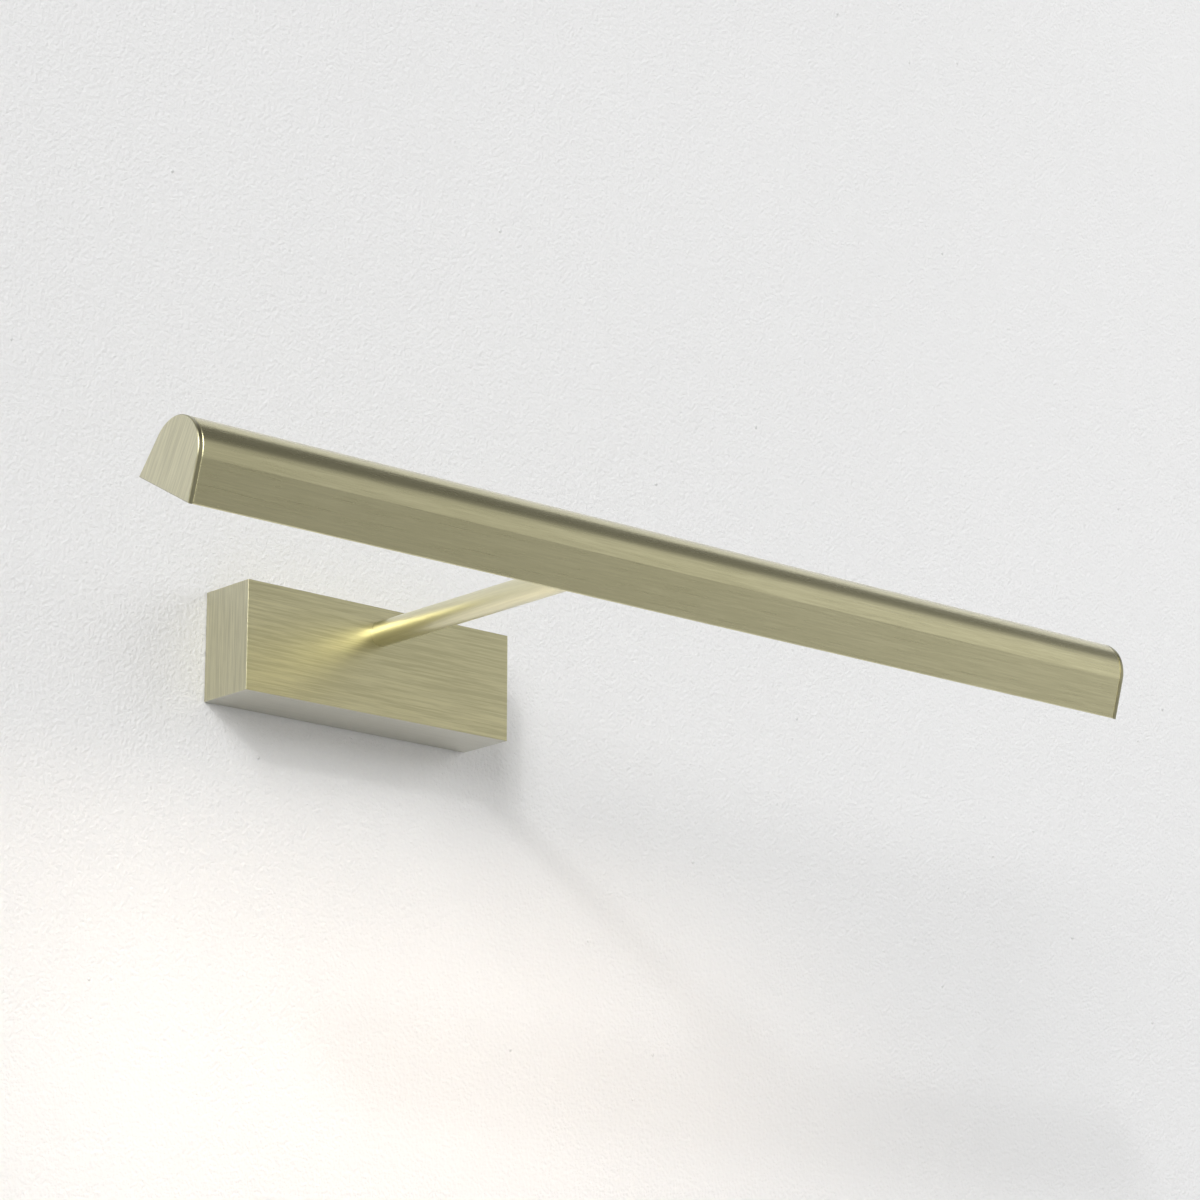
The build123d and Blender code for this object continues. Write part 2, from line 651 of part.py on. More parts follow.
with BuildPart() as neutral_wire:
    neutral_route = route(
        [
            (WIRE_START, POLE_Y, POLES[1]),
            (NEUTRAL_X, POLE_Y, POLES[1]),
            (NEUTRAL_X, POLE_Y, WIRE_END_Z),
        ],
        NEUTRAL_BEND,
    )
    with BuildSketch(Plane(origin=neutral_route @ 0, z_dir=neutral_route % 0)):
        Circle(WIRE_R)
    sweep(path=neutral_route)
neutral_wire.part.label = "neutral_wire"
export_step(neutral_wire.part, "parts/neutral_wire.step")

with BuildPart() as earth_wire:
    earth_route = route(
        [
            (WIRE_START, POLE_Y, POLES[2]),
            (EARTH_TURN_X, POLE_Y, POLES[2]),
            (EARTH_STRAIGHT_X, TAG_AXIS_Y, STUD_Z),
            (TAG_START + TAG_REACH, TAG_AXIS_Y, STUD_Z),
        ],
        EARTH_BENDS,
    )
    with BuildSketch(Plane(origin=earth_route @ 0, z_dir=earth_route % 0)):
        Circle(WIRE_R)
    sweep(path=earth_route)
earth_wire.part.label = "earth_wire"
export_step(earth_wire.part, "parts/earth_wire.step")

# ---------------------------------------------------------------- arm

ROOT_END = BOX_D - ROOT_L
TUBE_END = -PIVOT_Y - NECK_L

with BuildPart() as arm_backing_plate:
    with BuildSketch(ARM.offset(BOX_IN_FRONT - ARM_PLATE_T)):
        Rectangle(ARM_PLATE_W, ARM_PLATE_H)
        Circle(ROOT_R + RUN, mode=Mode.SUBTRACT)
    extrude(amount=ARM_PLATE_T)
arm_backing_plate.part.label = "arm_backing_plate"
export_step(arm_backing_plate.part, "parts/arm_backing_plate.step")

LOCK_FRONT = BOX_IN_FRONT - ARM_PLATE_T
TOOTH_COUNT = 12
TOOTH_R = 0.6

with BuildPart() as arm_lock_washer:
    with BuildSketch(ARM.offset(LOCK_FRONT - LOCK_T)):
        Circle(LOCK_R)
        Circle(ROOT_R + RUN, mode=Mode.SUBTRACT)
        with PolarLocations(LOCK_R, TOOTH_COUNT):
            Circle(TOOTH_R, mode=Mode.SUBTRACT)
    extrude(amount=LOCK_T)
arm_lock_washer.part.label = "arm_lock_washer"
export_step(arm_lock_washer.part, "parts/arm_lock_washer.step")

with BuildPart() as arm_nut:
    with BuildSketch(ARM.offset(LOCK_FRONT - LOCK_T - NUT_T)):
        RegularPolygon(NUT_AF / 2, 6, major_radius=False)
        Circle(ROOT_R + THREAD, mode=Mode.SUBTRACT)
    extrude(amount=NUT_T)
arm_nut.part.label = "arm_nut"
export_step(arm_nut.part, "parts/arm_nut.step")

with BuildPart() as arm_tube:
    with BuildSketch(ARM.offset(BOX_D)):
        Circle(ARM_R)
    extrude(amount=TUBE_END - BOX_D)
    with BuildSketch(ARM.offset(ROOT_END)):
        Circle(ROOT_R)
    extrude(amount=ROOT_L)
    with BuildSketch(ARM.offset(ROOT_END)):
        Circle(ARM_BORE_R)
    extrude(amount=TUBE_END - ROOT_END, mode=Mode.SUBTRACT)
arm_tube.part.label = "arm_tube"
export_step(arm_tube.part, "parts/arm_tube.step")

with BuildPart() as arm_lead_bush:
    with BuildSketch(ARM.offset(ROOT_END)):
        Circle(ARM_BORE_R - SEAT)
    extrude(amount=BUSH_L)
    with BuildSketch(ARM.offset(ROOT_END)):
        Circle(ROOT_R)
    extrude(amount=-BUSH_FLANGE_T)
    with BuildSketch(ARM.offset(ROOT_END - BUSH_FLANGE_T)):
        Circle(LEAD_HOLE_R)
    extrude(amount=BUSH_L + BUSH_FLANGE_T, mode=Mode.SUBTRACT)
arm_lead_bush.part.label = "arm_lead_bush"
export_step(arm_lead_bush.part, "parts/arm_lead_bush.step")

# Knuckle at the arm's end: an eye along X, hollow in the middle so that the lead can turn
with BuildPart() as arm_knuckle:
    with BuildSketch(PIN.offset(-EYE_W / 2)):
        Circle(EYE_R)
    extrude(amount=EYE_W)
    chamfer(arm_knuckle.edges().filter_by(GeomType.CIRCLE), EYE_CHAMFER)
    with BuildSketch(ARM.offset(TUBE_END)):
        Circle(ARM_R)
    extrude(amount=NECK_L)
    with BuildSketch(ARM.offset(TUBE_END - SPIGOT_L)):
        Circle(ARM_BORE_R - SEAT)
    extrude(amount=SPIGOT_L)
    with BuildSketch(ARM.offset(TUBE_END - SPIGOT_L)):
        Circle(SPIGOT_BORE_R)
    extrude(amount=SPIGOT_L + NECK_L, mode=Mode.SUBTRACT)
    with BuildSketch(PIN.offset(-EYE_W / 2)):
        Circle(PIN_THREAD_R + THREAD)
    extrude(amount=EYE_W, mode=Mode.SUBTRACT)
    with BuildSketch(PIN.offset(-CHAMBER_HALF)):
        Circle(CHAMBER_R)
    extrude(amount=2 * CHAMBER_HALF, mode=Mode.SUBTRACT)
arm_knuckle.part.label = "arm_knuckle"
export_step(arm_knuckle.part, "parts/arm_knuckle.step")

# ---------------------------------------------------------------- pivot

with BuildPart() as pivot_screw:
    with BuildSketch(PIN.offset(-PIN_SEAT_X)):
        Circle(PIN_HEAD_R)
    extrude(amount=-PIN_HEAD_T)
    chamfer(pivot_screw.edges().group_by(Axis.X)[0], PIN_HEAD_CHAMFER)
    with BuildSketch(PIN.offset(-PIN_SEAT_X)):
        Circle(PIN_R)
    extrude(amount=PIN_SEAT_X - EYE_W / 2)
    with BuildSketch(PIN.offset(-EYE_W / 2)):
        Circle(PIN_THREAD_R)
    extrude(amount=EYE_W / 2 - PIN_TIP_X)
    with BuildSketch(PIN.offset(-PIN_SEAT_X - PIN_HEAD_T)):
        RegularPolygon(PIN_DRIVE_R, 6)
    extrude(amount=PIN_DRIVE_DEPTH, mode=Mode.SUBTRACT)
pivot_screw.part.label = "pivot_screw"
export_step(pivot_screw.part, "parts/pivot_screw.step")

# Hollow pivot on the right, which the lead runs through, tightened with a pin spanner
with BuildPart() as pivot_bush:
    with BuildSketch(PIN.offset(PIN_SEAT_X)):
        Circle(PIN_HEAD_R)
    extrude(amount=FLANGE_T)
    with BuildSketch(PIN.offset(EYE_W / 2)):
        Circle(PIN_R)
    extrude(amount=PIN_SEAT_X - EYE_W / 2)
    with BuildSketch(PIN.offset(PIN_TIP_X)):
        Circle(PIN_THREAD_R)
    extrude(amount=EYE_W / 2 - PIN_TIP_X)
    with BuildSketch(PIN.offset(PIN_TIP_X)):
        Circle(HOLLOW_R)
    extrude(amount=PIN_SEAT_X + FLANGE_T - PIN_TIP_X, mode=Mode.SUBTRACT)
    with BuildSketch(PIN.offset(PIN_SEAT_X + FLANGE_T)):
        Rectangle(2 * PIN_HEAD_R, SPANNER_W)
    extrude(amount=-FLANGE_T / 2, mode=Mode.SUBTRACT)
pivot_bush.part.label = "pivot_bush"
export_step(pivot_bush.part, "parts/pivot_bush.step")

with BuildPart() as friction_washers:
    for start in (EYE_W / 2 + RUN, -EYE_W / 2 - RUN - WASHER_T):
        with BuildSketch(PIN.offset(start)):
            Circle(WASHER_R)
            Circle(PIN_R + RUN, mode=Mode.SUBTRACT)
        extrude(amount=WASHER_T)
friction_washers.part.label = "friction_washers"
export_step(friction_washers.part, "parts/friction_washers.step")

with BuildPart() as spring_washers:
    for start in (EAR_OUT + RUN, -EAR_OUT - RUN - WASHER_T):
        with BuildSketch(PIN.offset(start)):
            Circle(PIN_HEAD_R)
            Circle(PIN_R + RUN, mode=Mode.SUBTRACT)
        extrude(amount=WASHER_T)
spring_washers.part.label = "spring_washers"
export_step(spring_washers.part, "parts/spring_washers.step")

with BuildPart() as arm_lead:
    arm_lead_route = route(
        [
            (0, LEAD_Y, DRIVER_TOP - LEAD_REACH),
            (0, LEAD_Y, ARM_Z),
            (0, PIVOT_Y, ARM_Z),
            (JOINT_X, PIVOT_Y, ARM_Z),
        ],
        [ROOT_BEND, PIVOT_BEND],
    )
    with BuildSketch(Plane(origin=arm_lead_route @ 0, z_dir=arm_lead_route % 0)):
        Circle(LEAD_R)
    sweep(path=arm_lead_route)
arm_lead.part.label = "arm_lead"
export_step(arm_lead.part, "parts/arm_lead.step")

# ---------------------------------------------------------------- fork on the head

FORK_SCREWS = [(-FORK_SCREW_X, FORK_SCREW_DOWN), (FORK_SCREW_X, FORK_SCREW_DOWN)]
EAR = ear_outline()

with BuildPart() as head_fork:
    with BuildSketch(FLAT):
        with Locations((0, (FOOT_LOW - FOOT_TOP) / 2)):
            RectangleRounded(FOOT_W, FOOT_LOW + FOOT_TOP, FOOT_T / 2)
    extrude(amount=FOOT_T)
    for start in (EAR_IN, -EAR_OUT):
        with BuildSketch(SIDE.offset(start)):
            add(EAR)
        extrude(amount=EAR_T)
    with BuildSketch(PIN.offset(-EAR_OUT)):
        Circle(PIN_R + RUN)
    extrude(amount=2 * EAR_OUT, mode=Mode.SUBTRACT)
    with Locations(FLAT.offset(FOOT_T)):
        with Locations(*FORK_SCREWS):
            CounterSinkHole(M3_CLEAR_R, CSK_HEAD_R, depth=FOOT_T, counter_sink_angle=90)
        with Locations((LEAD_X, 0)):
            CounterBoreHole(SLEEVE_OUT_R, SLEEVE_FLANGE_R, SLEEVE_FLANGE_T, depth=FOOT_T)
    # Tapped hole for the wire cover's screw in the right ear
    with BuildSketch(SIDE.offset(EAR_OUT)):
        with Locations((COVER_SCREW_N, -COVER_SCREW_DOWN)):
            Circle(M2_R + THREAD)
    extrude(amount=-COVER_SCREW_REACH, mode=Mode.SUBTRACT)
head_fork.part.label = "head_fork"
export_step(head_fork.part, "parts/head_fork.step")

with BuildPart() as wire_cover:
    with BuildSketch(SIDE.offset(EAR_OUT)):
        add(EAR)
        with Locations((FOOT_T / 2, (FOOT_TOP - FOOT_LOW) / 2)):
            Rectangle(FOOT_T + 2 * SEAT, 2 * (FOOT_TOP + FOOT_LOW), mode=Mode.SUBTRACT)
    extrude(amount=COVER_T)
    fillet(wire_cover.edges().group_by(Axis.X)[-1], COVER_FILLET)
    # Groove for the lead, and a pocket over the hollow pivot's flange
    with BuildSketch(SIDE.offset(EAR_OUT)):
        with Locations((PIVOT_OFF / 2, 0)):
            Rectangle(PIVOT_OFF, 2 * GROOVE)
        with Locations((PIVOT_OFF, 0)):
            Circle(GROOVE)
    extrude(amount=GROOVE_DEPTH, mode=Mode.SUBTRACT)
    with BuildSketch(PIN.offset(EAR_OUT)):
        Circle(POCKET_R)
    extrude(amount=POCKET_DEPTH, mode=Mode.SUBTRACT)
    with Locations(SIDE.offset(EAR_OUT + COVER_T)):
        with Locations((COVER_SCREW_N, -COVER_SCREW_DOWN)):
            CounterSinkHole(M2_R + RUN, COVER_SCREW_HEAD_R, depth=COVER_T, counter_sink_angle=90)
wire_cover.part.label = "wire_cover"
export_step(wire_cover.part, "parts/wire_cover.step")

with BuildPart() as wire_cover_screw:
    with Locations(SIDE.offset(EAR_OUT + COVER_T)):
        with Locations((COVER_SCREW_N, -COVER_SCREW_DOWN)):
            Cone(
                M2_R,
                COVER_SCREW_HEAD_R - CSK_GAP,
                COVER_SCREW_HEAD_R - CSK_GAP - M2_R,
                align=(Align.CENTER, Align.CENTER, Align.MAX),
            )
            Cylinder(
                M2_R,
                COVER_T + COVER_SCREW_REACH - SEAT,
                align=(Align.CENTER, Align.CENTER, Align.MAX),
            )
    with BuildSketch(SIDE.offset(EAR_OUT + COVER_T)):
        with Locations((COVER_SCREW_N, -COVER_SCREW_DOWN)):
            RegularPolygon(M2_DRIVE_R, 6)
    extrude(amount=-M2_R, mode=Mode.SUBTRACT)
wire_cover_screw.part.label = "wire_cover_screw"
export_step(wire_cover_screw.part, "parts/wire_cover_screw.step")

with BuildPart() as fork_backing_plate:
    with BuildSketch(FLAT.offset(-SHADE_WALL - SEAT)):
        with Locations((0, (INNER_PLATE_LOW - INNER_PLATE_TOP) / 2)):
            Rectangle(INNER_PLATE_W, INNER_PLATE_LOW + INNER_PLATE_TOP)
        with Locations(FORK_SCREWS):
            Circle(M3_R + THREAD, mode=Mode.SUBTRACT)
        with Locations((LEAD_X, 0)):
            Circle(SLEEVE_OUT_R, mode=Mode.SUBTRACT)
    extrude(amount=-INNER_PLATE_T)
fork_backing_plate.part.label = "fork_backing_plate"
export_step(fork_backing_plate.part, "parts/fork_backing_plate.step")

FORK_SCREW_L = FOOT_T + SHADE_WALL + INNER_PLATE_T + FORK_SCREW_PROUD

with BuildPart() as fork_screws:
    with Locations(FLAT.offset(FOOT_T)):
        with Locations(*FORK_SCREWS):
            Cone(
                M3_R,
                CSK_HEAD_R - CSK_GAP,
                CSK_HEAD_R - CSK_GAP - M3_R,
                align=(Align.CENTER, Align.CENTER, Align.MAX),
            )
            Cylinder(M3_R, FORK_SCREW_L, align=(Align.CENTER, Align.CENTER, Align.MAX))
    with BuildSketch(FLAT.offset(FOOT_T)):
        with Locations(FORK_SCREWS):
            RegularPolygon(DRIVE_R, 6)
    extrude(amount=-DRIVE_DEPTH, mode=Mode.SUBTRACT)
fork_screws.part.label = "fork_screws"
export_step(fork_screws.part, "parts/fork_screws.step")

with BuildPart() as lead_sleeve:
    with BuildSketch(FLAT.offset(FOOT_T)):
        with Locations((LEAD_X, 0)):
            Circle(SLEEVE_FLANGE_R - RUN)
    extrude(amount=-SLEEVE_FLANGE_T + SEAT)
    with BuildSketch(FLAT.offset(FOOT_T)):
        with Locations((LEAD_X, 0)):
            Circle(SLEEVE_OUT_R - RUN)
    extrude(amount=-FOOT_T - SHADE_WALL)
    with BuildSketch(FLAT.offset(FOOT_T)):
        with Locations((LEAD_X, 0)):
            Circle(LEAD_HOLE_R)
    extrude(amount=-FOOT_T - SHADE_WALL, mode=Mode.SUBTRACT)
lead_sleeve.part.label = "lead_sleeve"
export_step(lead_sleeve.part, "parts/lead_sleeve.step")

# ---------------------------------------------------------------- head lead

SOCKET_SIDE = BOARD_W / 2                            # the connector's side, towards the wall
FLAT_BACK = (FLAT_FOOT - HEAD_BASE).dot(BACK)
LEAD_DEPTH = (FLAT_BACK - SOCKET_SIDE) / cos(LEAN)
LEAD_END = LEAD_DEPTH + PLUG_SOCKET_DEPTH / 2
ENTRY = FLAT_FOOT + Vector(LEAD_X, 0, 0)

with BuildPart() as head_lead:
    head_lead_route = route(
        [
            PIVOT + Vector(JOINT_X, 0, 0),
            PIVOT + Vector(LEAD_X, 0, 0),
            ENTRY - NORMAL * LEAD_END,
        ],
        PIVOT_BEND,
    )
    with BuildSketch(Plane(origin=head_lead_route @ 0, z_dir=head_lead_route % 0)):
        Circle(LEAD_R)
    sweep(path=head_lead_route)
head_lead.part.label = "head_lead"
export_step(head_lead.part, "parts/head_lead.step")

# ---------------------------------------------------------------- shade and end caps

HEAD_ACROSS = Axis(origin=HEAD_BASE, direction=BACK)

with BuildPart() as head_shade:
    with BuildSketch(SECTION.offset(-SHADE_L / 2)):
        add(arch(0))
        add(arch(SHADE_WALL), mode=Mode.SUBTRACT)
        for rib in (BOTTOM_LIP, DIFFUSER_RIB, CARRIER_LEDGE):
            rib_x, rib_y, rib_w, rib_h = rib_place(rib)
            with Locations((-rib_x, rib_y), (rib_x, rib_y)):
                Rectangle(rib_w, rib_h)
    extrude(amount=SHADE_L)
    # Broken edges: the two long lower corners, then the outline of both ends
    long_edges = head_shade.edges().filter_by(Axis.X).sort_by(HEAD_ACROSS)
    chamfer([long_edges[0], long_edges[-1]], SHADE_CHAMFER)
    end_faces = (head_shade.faces().sort_by(Axis.X)[0], head_shade.faces().sort_by(Axis.X)[-1])
    outline_edges = []
    for end_face in end_faces:
        longest = end_face.edges().sort_by(SortBy.LENGTH, reverse=True)
        outline_edges += [longest[0], longest[2], longest[3]]
    chamfer(outline_edges, SHADE_CHAMFER)
    with BuildSketch(FLAT):
        with Locations(FORK_SCREWS):
            Circle(M3_CLEAR_R)
        with Locations((LEAD_X, 0)):
            Circle(SLEEVE_OUT_R)
    extrude(amount=-SHADE_WALL - SEAT, mode=Mode.SUBTRACT)
head_shade.part.label = "head_shade"
export_step(head_shade.part, "parts/head_shade.step")


def end_cap(side):
    """An end cap: a plate of the head's outline and a plug that pushes into the shade's end."""
    with BuildPart() as cap:
        with BuildSketch(SECTION.offset(side * SHADE_L / 2)):
            add(arch(0))
        extrude(amount=side * CAP_T)
        outer_face = cap.faces().sort_by(Axis.X)[-1 if side > 0 else 0]
        chamfer(outer_face.edges(), CAP_CHAMFER)
        with BuildSketch(SECTION.offset(side * SHADE_L / 2)):
            low = half_at(PLUG_LOW, SHADE_WALL) - PLUG_GAP
            high = half_at(PLUG_HIGH, SHADE_WALL) - PLUG_GAP
            with BuildLine():
                Polyline(
                    (-low, PLUG_LOW), (low, PLUG_LOW), (high, PLUG_HIGH), (-high, PLUG_HIGH),
                    close=True,
                )
            make_face()
        extrude(amount=-side * PLUG_L)
    return cap


end_cap_left = end_cap(-1)
end_cap_left.part.label = "end_cap_left"
export_step(end_cap_left.part, "parts/end_cap_left.step")

end_cap_right = end_cap(1)
end_cap_right.part.label = "end_cap_right"
export_step(end_cap_right.part, "parts/end_cap_right.step")

# ---------------------------------------------------------------- light source

CARRIER_UP = CARRIER_LEDGE[1] + SEAT
BOARD_SCREWS = [
    (x, side * BOARD_SCREW_Y) for x, side in zip(BOARD_SCREW_X, (1, -1, 1, -1))
]

with BuildPart() as diffuser:
    with BuildSketch(LEVEL.offset(BOTTOM_LIP[1] + DIFFUSER_GAP)):
        Rectangle(SHADE_L - 2 * PLUG_GAP, DIFFUSER_W)
    extrude(amount=DIFFUSER_T)
diffuser.part.label = "diffuser"
export_step(diffuser.part, "parts/diffuser.step")

with BuildPart() as led_carrier:
    with BuildSketch(LEVEL.offset(CARRIER_UP)):
        Rectangle(CARRIER_L, CARRIER_W)
        with Locations(BOARD_SCREWS):
            Circle(M2_R + THREAD, mode=Mode.SUBTRACT)
    extrude(amount=CARRIER_T)
led_carrier.part.label = "led_carrier"
export_step(led_carrier.part, "parts/led_carrier.step")

with BuildPart() as led_board:
    with BuildSketch(LEVEL.offset(CARRIER_UP)):
        Rectangle(BOARD_L, BOARD_W)
        with Locations(BOARD_SCREWS):
            Circle(M2_R + RUN, mode=Mode.SUBTRACT)
    extrude(amount=-BOARD_T)
led_board.part.label = "led_board"
export_step(led_board.part, "parts/led_board.step")

BOARD_UNDER = CARRIER_UP - BOARD_T

with BuildPart() as led_chips:
    with BuildSketch(LEVEL.offset(BOARD_UNDER)):
        with GridLocations(CHIP_PITCH, 0, CHIP_COUNT, 1):
            Rectangle(CHIP_L, CHIP_W)
    extrude(amount=-CHIP_T)
led_chips.part.label = "led_chips"
export_step(led_chips.part, "parts/led_chips.step")

with BuildPart() as board_screws:
    with BuildSketch(LEVEL.offset(BOARD_UNDER)):
        with Locations(BOARD_SCREWS):
            Circle(M2_HEAD_R)
    extrude(amount=-M2_HEAD_T)
    with BuildSketch(LEVEL.offset(BOARD_UNDER)):
        with Locations(BOARD_SCREWS):
            Circle(M2_R)
    extrude(amount=BOARD_T + CARRIER_T)
    with BuildSketch(LEVEL.offset(BOARD_UNDER - M2_HEAD_T)):
        with Locations(BOARD_SCREWS):
            RegularPolygon(M2_DRIVE_R, 6)
    extrude(amount=M2_HEAD_T / 2, mode=Mode.SUBTRACT)
board_screws.part.label = "board_screws"
export_step(board_screws.part, "parts/board_screws.step")

with BuildPart() as board_connector:
    with BuildSketch(LEVEL.offset(BOARD_UNDER)):
        with Locations((LEAD_X, SOCKET_SIDE - PLUG_SOCKET_W / 2)):
            Rectangle(PLUG_SOCKET_L, PLUG_SOCKET_W)
    extrude(amount=-PLUG_SOCKET_T)
    with BuildSketch(FLAT.offset(-LEAD_DEPTH - PLUG_SOCKET_DEPTH)):
        with Locations((LEAD_X, 0)):
            Circle(LEAD_HOLE_R)
    extrude(amount=2 * PLUG_SOCKET_DEPTH, mode=Mode.SUBTRACT)
board_connector.part.label = "board_connector"
export_step(board_connector.part, "parts/board_connector.step")
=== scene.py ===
import json
from math import cos, radians, sin, tau

import bpy
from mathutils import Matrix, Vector


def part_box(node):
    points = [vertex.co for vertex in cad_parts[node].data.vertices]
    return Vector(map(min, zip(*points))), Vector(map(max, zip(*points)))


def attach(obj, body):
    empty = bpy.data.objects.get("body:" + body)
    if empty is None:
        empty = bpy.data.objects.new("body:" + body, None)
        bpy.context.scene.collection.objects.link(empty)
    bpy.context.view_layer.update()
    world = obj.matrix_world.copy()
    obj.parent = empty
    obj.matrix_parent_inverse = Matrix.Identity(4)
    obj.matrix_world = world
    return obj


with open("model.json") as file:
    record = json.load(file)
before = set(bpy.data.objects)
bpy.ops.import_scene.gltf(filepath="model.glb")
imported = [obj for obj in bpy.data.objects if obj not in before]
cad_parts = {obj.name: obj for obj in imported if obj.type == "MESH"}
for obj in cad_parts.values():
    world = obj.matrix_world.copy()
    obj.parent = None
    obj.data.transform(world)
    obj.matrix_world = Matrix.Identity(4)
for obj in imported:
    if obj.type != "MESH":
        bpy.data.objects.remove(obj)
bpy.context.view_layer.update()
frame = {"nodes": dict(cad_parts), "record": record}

# A picture light on a pale wall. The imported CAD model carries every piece; this script gives each piece
# its finish and sets up the studio. Metres, in the model's own frame: X along the head, the wall at
# Y = 0 with the light on its -Y side, Z up.

# Camera: in front of the light, to its left and below it
VIEW_AZIMUTH = -41.45
VIEW_ELEVATION = -15.29
VIEW_DISTANCE = 1.433
VIEW_AIM = Vector((0.0725, -0.0579, 0.0286))
LENS_MM = 120.25
SENSOR_MM = 36.0

# Stage
ROOM_HALF = 4.0
WALL_GAP = 0.0003               # the wall's surface lies this far behind the box
OPENING_X, OPENING_Z = 0.0565, 0.018    # half sizes of the opening that shows the box's back
FLOOR_Z = -1.25
WALL_COLOUR = (0.893, 0.893, 0.895)
FLOOR_COLOUR = (0.50, 0.497, 0.487)
PLASTER_GRAIN, PLASTER_RELIEF = 700.0, 0.0021      # features per metre, and height
PLASTER_CHIPS, CHIP_WIDTH, CHIP_HEIGHT = 45.0, 0.035, 2.5
PAINT_GRAIN, PAINT_RELIEF = 90.0, 0.0004

# Studio light: a tall far softbox to the upper left with a small bright lamp in it, a near softbox to
# the right that only lights matt surfaces, and a pale room that is dimmer overhead
KEY_DIRECTION, KEY_DISTANCE = Vector((-0.66, -0.63, 0.40)), 16.0
KEY_SIZE, KEY_POWER = (6.0, 11.5), 1560.0
CORE_DIRECTION = Vector((-0.677, -0.599, 0.428))
CORE_SIZE, CORE_POWER = (0.8, 0.8), 290.0
FILL_DIRECTION, FILL_DISTANCE = Vector((0.80, -0.55, 0.25)), 2.6
FILL_SIZE, FILL_POWER = (1.2, 1.6), 13.0
STUDIO_COLOUR = (1.0, 1.0, 1.0)
ROOM_BY_HEIGHT = ((-1.0, 0.11), (-0.2, 0.33), (-0.05, 0.56), (0.25, 0.57), (0.45, 0.54),
                  (0.63, 0.16), (1.0, 0.20))
ROOM_BY_SIDE = ((-1.0, 0.95), (0.2, 0.95), (0.5, 0.90), (0.8, 1.65), (1.0, 2.0))

# The lamp
LAMP_COLOUR = (1.0, 0.81, 0.62)
LAMP_CLOUDY, LAMP_CLEAR = (1.0, 0.875, 0.744), (1.0, 0.92, 0.80)     # colours of the diffuser's face
LAMP_GLOW = 1.0                 # and its brightness
LAMP_POWER = 0.185
LAMP_SPREAD = radians(109.0)
LAMP_GAP = 0.0016               # the beam starts this far below the diffuser's middle
LAMP_WIDTH = 0.018
LAMP_SHARE = 0.95               # of the diffuser's length

REST_TILT = radians(28.5)       # the head's lean at rest

# Brass, as the shares of red, green and blue light that it reflects
BRASS_DARK = (0.540, 0.505, 0.298)
BRASS_LIGHT = (0.695, 0.652, 0.400)
# rubbed brass and a painted highlight on edges that don't look up
BRASS_RUBBED_HIGHLIGHT = (0.80, 0.76, 0.55)
BRASS_BRIGHT = 1.20             # the arm's polish, against the satin of the other brass
BRASS_PALE = (0.68, 0.66, 0.515)
# painted reflection: the paler brass painted on faces that look down
BRASS_UNDERSIDE_REFLECTION = (0.62, 0.61, 0.54)
PATINA_SCALE = (11.0, 17.0, 17.0)
# painted light and shade: faces across X get their own tone, darker on the box, paler on the end caps
PAINTED_SIDE_SHARE = 0.6                # how far a side tone covers the brass
SIDE_DARK, SIDE_LIGHT = 0.88, 1.10
# painted shade on the end caps' rims
RIM_PAINTED_SHADE = 0.45
LACQUER, LACQUER_ROUGHNESS = 0.7, 0.28

# Brush lines: how many per metre across and along the brush, and how deep
FINE_ACROSS, FINE_ALONG = 1400.0, 42.0
BROAD_ACROSS, BROAD_ALONG = 640.0, 7.0
FINE_SHARE = 0.93
BRUSH_DEPTH = 0.000004
BRUSH_SATIN = 0.035             # how much rougher the dark lines are, and smoother the light ones

# the rubbed edges also carry a painted highlight
EDGE_RADIUS = 0.0006            # how far rubbing reaches from an edge
EDGE_SHARP, EDGE_OPEN = 0.80, 0.985     # cosines between the true and the rounded surface
EDGE_POLISH = 0.02
FACING = 0.8                    # the least cosine at which a surface counts as looking along an axis


# ---------------------------------------------------------------- materials

